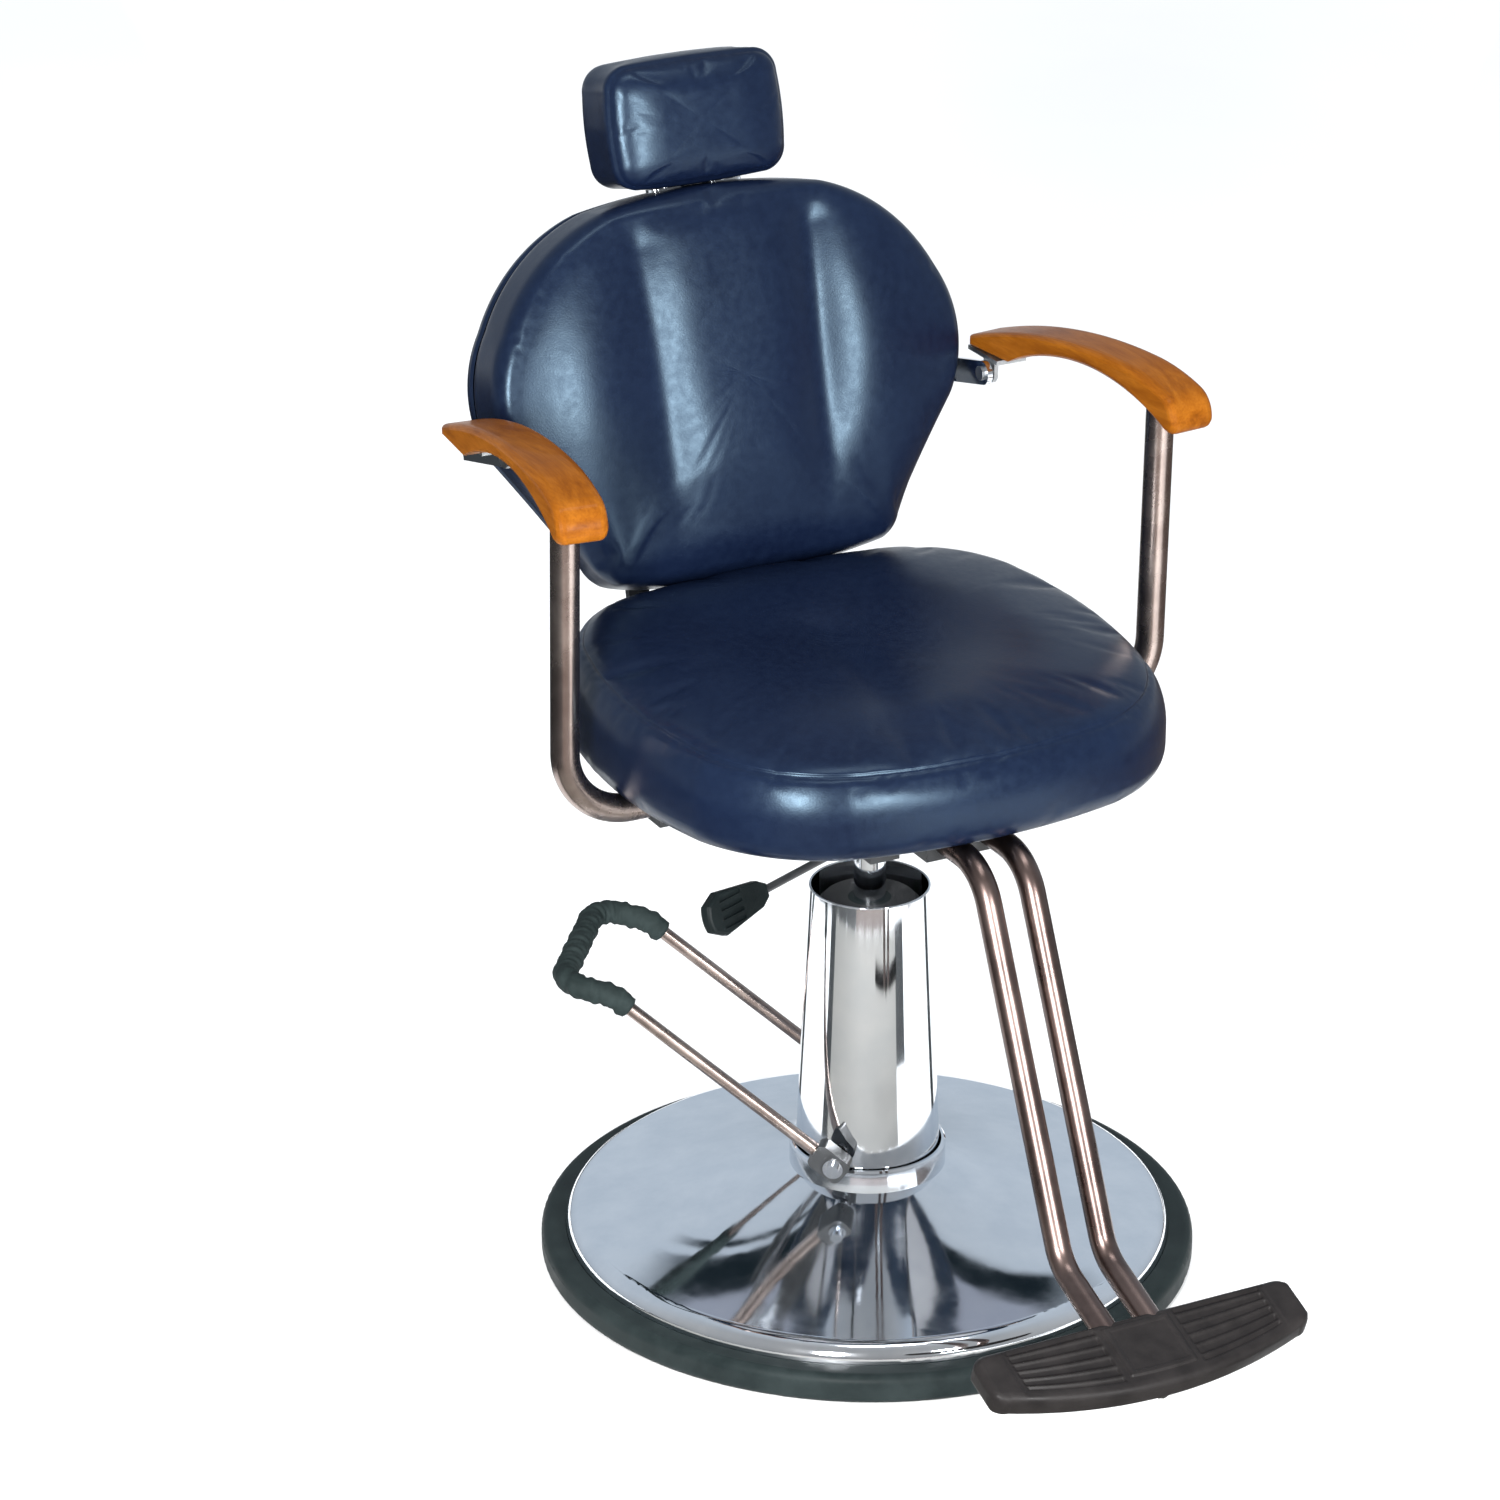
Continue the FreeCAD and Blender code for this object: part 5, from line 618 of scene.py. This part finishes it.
def inflate(piece, held, cap, pressure, slack):
    """Blow the cover up as cloth, hold what is sewn or nailed, and cap how far a point moves."""
    before = coordinates(piece)
    group = piece.vertex_groups.new(name="held")
    group.add([int(i) for i in np.nonzero(held)[0]], 1.0, "REPLACE")
    cloth = piece.modifiers.new("cloth", "CLOTH")
    settings = cloth.settings
    settings.quality = 6
    settings.mass = 0.4
    settings.tension_stiffness = settings.compression_stiffness = 30
    settings.shear_stiffness = 12
    settings.bending_stiffness = 2.5
    settings.use_pressure = True
    settings.uniform_pressure_force = pressure
    settings.vertex_group_mass = "held"
    settings.shrink_min = -slack
    settings.effector_weights.gravity = 0
    cloth.collision_settings.use_collision = False
    cloth.point_cache.frame_start, cloth.point_cache.frame_end = 1, CLOTH_FRAMES
    for number in range(1, CLOTH_FRAMES + 1):
        scene.frame_set(number)
    graph = bpy.context.evaluated_depsgraph_get()
    after = np.array([v.co for v in piece.evaluated_get(graph).data.vertices])
    piece.modifiers.remove(cloth)
    piece.vertex_groups.remove(group)
    scene.frame_set(1)
    move = after - before
    length = np.linalg.norm(move, axis=1)
    share = np.where(length > cap, cap / np.maximum(length, 1e-9), 1.0)
    set_coordinates(piece, before + move * share[:, None])


def smooth_step(value, low, high):
    t = np.clip((value - low) / (high - low), 0, 1)
    return t * t * (3 - 2 * t)


def ridge(points, line, width):
    """How near each point lies to a line of points in the same plane, from 0 to 1."""
    best = np.full(len(points), 1e9)
    for start, end in zip(line[:-1], line[1:]):
        start, end = np.array(start), np.array(end)
        along = end - start
        t = np.clip((points - start) @ along / (along @ along), 0, 1)
        gap = np.linalg.norm(points - (start + t[:, None] * along), axis=1)
        best = np.minimum(best, gap)
    return np.exp(-(best / width) ** 2)


def finish_pad(piece, body, replaced):
    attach(piece, body)
    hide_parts(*replaced)


# Seat: the cover is nailed under the board, and a sewn seam joins its side band to its top

SEAT = dict(half_width=0.243, half_depth=0.234, middle=0.014, underside=0.482, seam=0.5625,
            crown=0.0170, rise=math.radians(2.5), points=360)
SEAT_SHARES = [(0.930, 0.528), (0.774, 0.774), (0.528, 0.930)]
SEAT_NAILED_RINGS = 6
SEAT_TOP_STEPS = (0.03, 0.06, 0.10, 0.15, 0.2, 0.26, 0.32, 0.38, 0.44, 0.5, 0.56, 0.62, 0.68, 0.74,
                  0.8, 0.86, 0.92, 0.97)

# Soft valleys in the seat's top: their lines in plan, width and depth
SEAT_FOLDS = [
    ([(-0.02, 0.05), (-0.045, -0.10), (-0.06, -0.19)], 0.022, 0.0032),
    ([(0.0, 0.02), (0.03, -0.01), (0.06, -0.02)], 0.075, 0.0045),
    ([(-0.10, 0.225), (0.10, 0.225)], 0.045, 0.0048),
]


def seat_profile():
    """Insets and heights of the cover's rings from under the board to the top, and the seam's."""
    low, seam = SEAT["underside"], SEAT["seam"]
    band = seam - low
    hem = 0.0016
    corner_inset, corner_height = 0.0135, 0.020
    band_foot, band_lean, upright_share = 0.0184, 0.0125, 0.3
    top_inset, top_foot, top_reach = 0.0176, 0.0030, 0.212
    profile = [(0.045, low - 0.0012), (0.030, low - 0.0014), (0.0165, low - hem)]
    profile += [(corner_inset * (1 - math.sin(t)), low - hem + corner_height * (1 - math.cos(t)))
                for t in np.linspace(0.12, math.pi / 2, 8)]
    profile += [(band_lean * max(0.0, (t - upright_share) / 0.7) ** 2,
                 low + band_foot + (band - band_foot) * t) for t in np.linspace(0.12, 0.96, 12)]
    profile += [(0.0130, seam - 0.0018), (0.0140, seam - 0.0008)]
    seam_ring = len(profile)
    profile += [(0.0168, seam - 0.0001), (0.0162, seam + 0.0014), (top_inset, seam + top_foot)]
    for t in SEAT_TOP_STEPS:
        profile.append((top_inset + t * top_reach, seam + top_foot + (SEAT["crown"] - top_foot)
                        * (1 - (1 - t) ** 4.2) ** 0.62))
    return profile, seam_ring


def seat_pad():
    low, seam, count = SEAT["underside"], SEAT["seam"], SEAT["points"]
    outline = pillow_outline(SEAT["half_width"], SEAT["half_depth"], SEAT_SHARES, count)
    profile, seam_ring = seat_profile()
    rings = []
    for inset, height in profile:
        flat = shrunk(outline, inset)
        tilt = SEAT["rise"] * min(1.0, max(0.0, (height - low) / (seam - low)))
        rings.append(np.stack([flat[:, 0], SEAT["middle"] + flat[:, 1] * math.cos(tilt),
                               height + flat[:, 1] * math.sin(tilt)], axis=1))
    piece = shell("seat_pad", rings, MATERIALS["navy_leather"], caps=(False, True))
    held = held_points(piece, count, list(range(SEAT_NAILED_RINGS)) + [seam_ring])
    inflate(piece, held, cap=0.006, pressure=1.3, slack=0.003)
    co = coordinates(piece)
    flat = co[:, :2]
    top = smooth_step(co[:, 2], seam + 0.002, seam + 0.010)
    for line, width, depth in SEAT_FOLDS:
        co[:, 2] -= depth * ridge(flat, line, width) * top
    set_coordinates(piece, co)
    finish_pad(piece, "seat", ("seat_cushion",))


# Back: its own frame starts where its front meets the seat and leans with it

LEAN = math.radians(14)
FOOT = np.array((0.0, 0.212, 0.578))
BACK_HALF_WIDTH = 0.230
BACK_HALF_HEIGHT = 0.164
BACK_MIDDLE = 0.010 + BACK_HALF_HEIGHT
BACK_NAILED_RINGS = 3

# Widths and depths of what is pressed into the back's front or stands out of it. The creases
# are twofold, a narrow groove in a broad hollow, and the left one is shallower.
CREASE_LINE, CREASE_SPREAD = 0.080, 0.006
GROOVE_WIDTH, GROOVE_DEPTH = 0.013, 0.0022
HOLLOW_WIDTH, HOLLOW_DEPTH = 0.030, 0.0085
LEFT_CREASE_SHARE = 0.62
BOLSTER_LINE, BOLSTER_WIDTH, BOLSTER_DEPTH = 0.150, 0.045, 0.0045
BELLY_WIDTH, BELLY_DEPTH = 0.10, 0.005
SAG_HALF_WIDTH, SAG_FRONT, SAG_REAR = 0.165, 0.0135, 0.0060


def from_back(points):
    """Points given across, rearwards and along the back, in the chair's frame."""
    points = np.asarray(points, float)
    x, depth, height = points[:, 0], points[:, 1], points[:, 2]
    return np.stack([x, FOOT[1] + depth * math.cos(LEAN) + height * math.sin(LEAN),
                     FOOT[2] - depth * math.sin(LEAN) + height * math.cos(LEAN)], axis=1)


def upright_rings(outline, profile, middle):
    """Rings in the back's frame, from the insets and depths of a profile."""
    rings = []
    for inset, depth in profile:
        flat = shrunk(outline, inset)
        rings.append(np.stack([flat[:, 0], np.full(len(flat), depth), middle + flat[:, 1]],
                              axis=1))
    return rings


def back_profile():
    """Insets and depths of the back's rings, from its rear edge round to its front's middle."""
    rear_round, rear, rear_drop = 0.016, 0.0620, 0.014
    front_round, front, front_drop = 0.0155, 0.016, 0.0185
    reach, crown = 0.225, 0.014
    profile = [(rear_round, 0.0622)]
    profile += [(rear_round * (1 - math.sin(t)), rear - rear_drop * (1 - math.cos(t)))
                for t in np.linspace(0.2, math.pi / 2, 6)]
    profile += [(0.0, depth) for depth in np.linspace(0.044, 0.018, 7)]
    profile += [(front_round * (1 - math.cos(t)), front - front_drop * math.sin(t))
                for t in np.linspace(0.12, math.pi / 2 * 0.93, 12)]
    last_inset, last_depth = profile[-1]
    for t in np.linspace(0.02, 0.985, 44):
        profile.append((last_inset + t * (reach - last_inset),
                        last_depth - (crown + last_depth) * (1 - (1 - t) ** 3.4) ** 0.8))
    return profile


def press_back(co):
    """Presses creases into the back's front, fills its bolsters and belly, and lowers its foot."""
    x, depth, height = co.T
    front = smooth_step(-depth, -0.010, 0.004)
    along = (height - BACK_MIDDLE) / BACK_HALF_HEIGHT
    fade = smooth_step(along, -0.95, -0.25) * (1 - smooth_step(along, 0.72, 0.98))
    for sign in (-1, 1):
        line = sign * (CREASE_LINE + CREASE_SPREAD * along)
        groove = np.exp(-((x - line) / GROOVE_WIDTH) ** 2) * GROOVE_DEPTH
        hollow = np.exp(-((x - line) / HOLLOW_WIDTH) ** 2) * HOLLOW_DEPTH
        share = LEFT_CREASE_SHARE if sign < 0 else 1.0
        co[:, 1] += (groove + hollow) * fade * front * share
        bolster = np.exp(-((x - sign * BOLSTER_LINE) / BOLSTER_WIDTH) ** 2
                         - ((along - 0.05) / 0.6) ** 2)
        co[:, 1] -= bolster * BOLSTER_DEPTH * front
    belly = np.exp(-(x / BELLY_WIDTH) ** 2 - ((along + 0.35) / 0.45) ** 2)
    co[:, 1] -= belly * BELLY_DEPTH * front
    sag = np.maximum(0, 1 - (x / SAG_HALF_WIDTH) ** 4) * smooth_step(-along, 0.55, 0.98)
    co[:, 2] -= sag * (SAG_FRONT + SAG_REAR * smooth_step(depth, 0.005, 0.040))


def back_pad():
    count = 400
    outline = apple_outline(BACK_HALF_WIDTH, BACK_HALF_HEIGHT, count)
    rings = upright_rings(outline, back_profile(), BACK_MIDDLE)
    piece = shell("back_pad", rings, MATERIALS["navy_leather"])
    held = held_points(piece, count, range(BACK_NAILED_RINGS), single=[len(rings) * count])
    inflate(piece, held, cap=0.005, pressure=1.0, slack=0.0015)
    co = coordinates(piece)
    press_back(co)
    set_coordinates(piece, from_back(co))
    finish_pad(piece, "back", ("back_cushion",))


def rear_pad():
    start, end = 0.0625, 0.0870
    edge_inset, rounding, rise, reach = 0.002, 0.018, 0.0185, 0.22
    outline = apple_outline(BACK_HALF_WIDTH, BACK_HALF_HEIGHT, 300)
    profile = [(0.004, start), (edge_inset, start + 0.002)]
    profile += [(edge_inset + rounding * (1 - math.cos(t)), start + 0.004 + rise * math.sin(t))
                for t in np.linspace(0.0, math.pi / 2 * 0.9, 10)]
    last_inset, last_depth = profile[-1]
    for t in np.linspace(0.03, 0.97, 14):
        profile.append((last_inset + t * (reach - last_inset),
                        last_depth + (end - last_depth) * min(1.0, t * 4)))
    rings = upright_rings(outline, profile, BACK_MIDDLE)
    piece = shell("back_rear_pad", rings[::-1], MATERIALS["navy_leather"], caps=(True, False))
    set_coordinates(piece, from_back(coordinates(piece)))
    finish_pad(piece, "back", ("back_rear_panel",))


# Headrest: a small pillow with a seam round its front

HEAD = dict(half_width=0.086, half_height=0.056, middle=0.397, front=0.018, thick=0.062,
            points=260)
HEAD_SHARES = [(0.980, 0.560), (0.902, 0.855), (0.700, 0.975)]
HEAD_NAILED_RINGS = 3
HEAD_FRONT_STEPS = (0.02, 0.05, 0.09, 0.14, 0.2, 0.27, 0.35, 0.44, 0.54, 0.65, 0.77, 0.9)


def head_profile():
    """Insets and depths of the headrest's rings from rear to front, and the seam's ring."""
    front = HEAD["front"]
    rear = front + HEAD["thick"]
    rounding = 0.010
    front_inset, front_foot, front_reach, crown = 0.0042, 0.0026, 0.0518, 0.0116
    profile = [(0.020, rear), (rounding, rear)]
    profile += [(rounding * (1 - math.sin(t)), rear - rounding * (1 - math.cos(t)))
                for t in np.linspace(0.2, math.pi / 2, 6)]
    profile += [(0.0008 * math.sin(math.pi * t), rear - 0.012 - (0.050 - 0.0075) * t)
                for t in np.linspace(0.1, 1.0, 8)]
    profile += [(0.0012, front + 0.0052)]
    seam_ring = len(profile)
    profile += [(0.0030, front + 0.0042), (front_inset, front + front_foot)]
    for t in HEAD_FRONT_STEPS:
        profile.append((front_inset + t * front_reach,
                        front + front_foot - crown * (1 - (1 - t) ** 3.2) ** 0.62))
    return profile, seam_ring


def head_pad():
    count = HEAD["points"]
    outline = pillow_outline(HEAD["half_width"], HEAD["half_height"], HEAD_SHARES, count)
    profile, seam_ring = head_profile()
    rings = upright_rings(outline, profile, HEAD["middle"])
    piece = shell("headrest_pad", rings, MATERIALS["navy_leather"])
    held = held_points(piece, count, list(range(HEAD_NAILED_RINGS)) + [seam_ring],
                       single=[len(rings) * count])
    inflate(piece, held, cap=0.004, pressure=2.0, slack=0.0018)
    set_coordinates(piece, from_back(coordinates(piece)))
    finish_pad(piece, "headrest", ("headrest_cushion",))


# Lever grip: a lumpy foam sleeve round the lever's tip

LEVER_HEADING = math.radians(142.7)
LEVER_REACH, LEVER_HEIGHT = 0.017, 0.118
GRIP = dict(radius=0.0105, bore=0.0066, end_round=0.0035, step=0.0016, points=32)

# The lever's loop: half its width, where it bends and ends along its heading and up, and how
# far the sleeve reaches back from the bend
LOOP_HALF, LOOP_BEND, LOOP_TIP, LOOP_BACK = 0.079, (0.197, 0.148), (0.243, 0.156), (0.016, 0.012)
LOOP_RADII = (0.040, 0.024, 0.024, 0.040)

# The foam's lumps: how high and long they are, how often they go round, and where they start
LUMPS = [(0.00045, 0.0083, 2, 0.0), (0.00030, 0.0310, 3, 1.0)]
WAVE_HEIGHT, WAVE_LENGTH, WAVE_TWIST = 0.00055, 0.0135, 1.3


def rounded_route(points, radii, step):
    """The line through the points with its corners rounded, divided evenly."""
    line = [points[0]]
    cuts = 12
    for before, here, after, radius in zip(points[:-2], points[1:-1], points[2:], radii):
        back, ahead = (before - here).normalized(), (after - here).normalized()
        half = back.angle(ahead) / 2
        start = here + back * radius / math.tan(half)
        centre = here + (back + ahead).normalized() * radius / math.sin(half)
        sweep = math.pi - 2 * half
        turn_axis = (start - centre).cross(here - centre)
        for i in range(cuts + 1):
            turned = Matrix.Rotation(sweep * i / cuts, 3, turn_axis) @ (start - centre)
            line.append(centre + turned)
    line.append(points[-1])
    line = np.array([tuple(p) for p in line])
    run = np.concatenate([[0], np.cumsum(np.linalg.norm(np.diff(line, axis=0), axis=1))])
    spots = np.linspace(0, run[-1], int(run[-1] / step) + 1)
    return np.stack([np.interp(spots, run, line[:, k]) for k in range(3)], axis=1), spots


def lever_spot(along, across, height):
    """A point of the lever, given along its heading, across it and up from its clamps."""
    reach = LEVER_REACH + along
    return Vector((reach * math.cos(LEVER_HEADING) - across * math.sin(LEVER_HEADING),
                   reach * math.sin(LEVER_HEADING) + across * math.cos(LEVER_HEADING),
                   LEVER_HEIGHT + height))


def grip_route():
    """The sleeve's line: along one side of the loop, across its tip and back."""
    points = []
    for sign in (-1, 1):
        across = sign * LOOP_HALF
        stretch = [lever_spot(LOOP_BEND[0] - LOOP_BACK[0], across, LOOP_BEND[1] - LOOP_BACK[1]),
                   lever_spot(LOOP_BEND[0], across, LOOP_BEND[1]),
                   lever_spot(LOOP_TIP[0], across, LOOP_TIP[1])]
        points += stretch if sign < 0 else stretch[::-1]
    return rounded_route(points, LOOP_RADII, GRIP["step"])


def grip_sleeve():
    line, run = grip_route()
    origin = lever_spot(0, 0, 0)
    level = (lever_spot(1, 0, 0) - origin).cross(lever_spot(0, 1, 0) - origin)
    ahead = np.gradient(line, axis=0)
    ahead /= np.linalg.norm(ahead, axis=1)[:, None]
    side = np.cross(ahead, np.array(level))
    side /= np.linalg.norm(side, axis=1)[:, None]
    over = np.cross(side, ahead)
    turns = np.linspace(0, 2 * math.pi, GRIP["points"], endpoint=False)
    rings = []
    for index, (spot, way) in enumerate(zip(line, run)):
        lumps = WAVE_HEIGHT * np.sin(2 * math.pi * way / WAVE_LENGTH + WAVE_TWIST * np.sin(turns))
        for height, length, often, start in LUMPS:
            lumps = lumps + height * np.sin(2 * math.pi * way / length + often * turns + start)
        edge = min(way, run[-1] - way)
        soft = math.sqrt(max(0.0, 1 - max(0.0, 1 - edge / GRIP["end_round"]) ** 2))
        size = GRIP["bore"] + (GRIP["radius"] + lumps - GRIP["bore"]) * soft
        rings.append(spot + size[:, None] * (np.cos(turns)[:, None] * side[index]
                                             + np.sin(turns)[:, None] * over[index]))
    piece = shell("lever_grip_foam", rings, MATERIALS["grip_foam"])
    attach(piece, "lever")
    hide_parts("lever_grip")


# Plunger's spring: a coil as tall as the spring part it replaces

COIL = dict(wire=0.0011, stroke=0.0114, turns=7.0, points=10, steps_a_turn=24)


def plunger_coil():
    low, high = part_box("plunger_spring")
    wire, stroke, turns = COIL["wire"], COIL["stroke"], COIL["turns"]
    radius = (high.x - low.x) / 2 - wire
    middle = np.array(((low.x + high.x) / 2, (low.y + high.y) / 2))
    around = np.linspace(0, 2 * math.pi, COIL["points"], endpoint=False)
    rings = []
    for turn in np.linspace(0, turns, int(turns * COIL["steps_a_turn"]) + 1):
        angle = 2 * math.pi * turn
        # The turns at both ends lie closer, as those of a ground spring
        share = smooth_step(turn, 0.6, turns - 0.6) * 0.35 + 0.65 * np.clip(
            (turn - 0.8) / (turns - 1.6), 0, 1)
        height = low.z + wire + (high.z - low.z - 2 * wire) * share
        reach = radius + wire * np.cos(around)
        rings.append(np.stack([middle[0] + reach * math.cos(angle),
                               middle[1] + reach * math.sin(angle),
                               height + wire * np.sin(around)], axis=1))
    piece = shell("plunger_coil", rings, MATERIALS["spring_steel"])
    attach(piece, "base")
    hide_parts("plunger_spring")
    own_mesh(piece)


# Treadle: moulded, with a framed middle panel, ribbed fields and plain ends

TREADLE = dict(place=(0.0, -0.4465, 0.1384), slope=math.radians(20), half=0.151, corner=0.014,
               middle=0.076, shoulder=0.0525, end=0.036, thick=0.011, edge=0.007)
TREADLE_COLUMNS, TREADLE_ROWS = 301, 92
EDGE_STEPS = (0, 0.0001, 0.0004, 0.0010, 0.0019, 0.0031, 0.0048, TREADLE["edge"])

# Areas of the treadle's top: from and to where they lie from its middle, their gaps to its
# rear and front edge, and how softly they rise
FIELD = (0.0375, 0.120, 0.0065, 0.0105, 0.0007)
PANEL = (-1, 0.0310, 0.0085, 0.0135, 0.0008)
PANEL_INNER = (-1, 0.0262, 0.0133, 0.0183, 0.0006)
END = (0.1245, 1, 0.0045, 0.0065, 0.0007)
FIELD_DEPTH, PANEL_HEIGHT, FRAME_HEIGHT, END_HEIGHT = 0.0021, 0.0012, 0.0008, 0.0007
RIBS, RIB_WIDTH = 5, 0.20
KNOB_PLACE, KNOB_DEPTH, KNOB_RADII = 0.0655, 0.006, (0.0045, 0.0085)


def treadle_relief(x, rear_gap, depth):
    """How high the moulded top stands, by distance from its middle and from its rear edge."""
    far = np.abs(x)
    front_gap = depth - rear_gap

    def inside(low, high, rear, front, soft):
        return (smooth_step(far, low - soft, low + soft)
                * smooth_step(-far, -high - soft, soft - high)
                * smooth_step(rear_gap, rear - soft, rear + soft)
                * smooth_step(front_gap, front - soft, front + soft))

    rear, front = FIELD[2:4]
    rows = (rear_gap - rear) / np.maximum(depth - (rear + front), 0.01) * RIBS
    rib = np.exp(-(((rows % 1.0) - 0.5) / RIB_WIDTH) ** 2)
    panel = inside(*PANEL)
    raised_frame = panel - inside(*PANEL_INNER)
    return (-FIELD_DEPTH * inside(*FIELD) * (1 - rib) + PANEL_HEIGHT * panel
            + FRAME_HEIGHT * raised_frame + END_HEIGHT * inside(*END))


def sheet_faces(rows, columns):
    """Faces of an upper and a lower grid of points, joined round their rim."""
    size = rows * columns
    faces = []

    def at(row, column):
        return row * columns + column

    for row in range(rows - 1):
        for column in range(columns - 1):
            quad = (at(row, column), at(row + 1, column), at(row + 1, column + 1),
                    at(row, column + 1))
            faces.append(quad)
            faces.append(tuple(size + i for i in quad[::-1]))
    rim = [at(0, c) for c in range(columns)] + [at(r, columns - 1) for r in range(1, rows)]
    rim += [at(rows - 1, c) for c in range(columns - 2, -1, -1)]
    rim += [at(r, 0) for r in range(rows - 2, 0, -1)]
    for here, ahead in zip(rim, rim[1:] + rim[:1]):
        faces.append((here, ahead, size + ahead, size + here))
    return faces


def treadle():
    half, corner, edge = TREADLE["half"], TREADLE["corner"], TREADLE["edge"]
    steps = np.array(EDGE_STEPS)
    middle = np.linspace(edge - half, half - edge, TREADLE_COLUMNS)[1:-1]
    xs = np.concatenate([steps - half, middle, (half - steps)[::-1]])
    past = np.clip((np.abs(xs) - (half - corner)) / corner, 0, 1)
    bow = np.sqrt(np.maximum(0, 1 - past ** 2))
    rear = corner * (1 - bow)
    taper = np.minimum(1, (xs / (half - corner)) ** 2)
    shoulder = TREADLE["middle"] - (TREADLE["middle"] - TREADLE["shoulder"]) * taper
    front = np.where(past > 0, TREADLE["end"] + (TREADLE["shoulder"] - TREADLE["end"]) * bow,
                     shoulder)
    rows = [rear + step for step in steps]
    rows += [rear + edge + (front - rear - 2 * edge) * share
             for share in np.linspace(0, 1, TREADLE_ROWS)[1:-1]]
    rows += [front - step for step in steps[::-1]]
    y = np.array(rows)
    x = np.broadcast_to(xs, y.shape)
    gap = np.minimum(np.minimum(y - rear, front - y), half - np.abs(x))
    lift = np.sqrt(np.maximum(0, edge ** 2 - (edge - np.minimum(gap, edge)) ** 2))
    flat = TREADLE["thick"] - edge
    top = flat + lift + treadle_relief(x, y - rear, front - rear) * (gap >= edge * 0.4)
    knob = 1 - smooth_step(np.hypot(x, y - KNOB_PLACE), *KNOB_RADII)
    bottom = -flat - lift - KNOB_DEPTH * knob
    sheets = [np.stack([x, -y, z], axis=2).reshape(-1, 3) for z in (top, bottom)]
    across, out, up = np.vstack(sheets).T
    tilt, place = TREADLE["slope"], TREADLE["place"]
    points = np.stack([across, place[1] + out * math.cos(tilt) - up * math.sin(tilt),
                       place[2] + out * math.sin(tilt) + up * math.cos(tilt)], axis=1)
    piece = add_smooth_mesh("treadle_moulding", points, sheet_faces(*y.shape),
                            MATERIALS["black_plastic"])
    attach(piece, "seat")
    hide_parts("footrest_treadle")


add_camera()
add_world()
add_floor()
add_cards()
dress_nodes()
seat_pad()
back_pad()
rear_pad()
head_pad()
grip_sleeve()
plunger_coil()
treadle()
add_sun()
for box in BOXES:
    add_box(*box)
scene.view_settings.view_transform = "Standard"
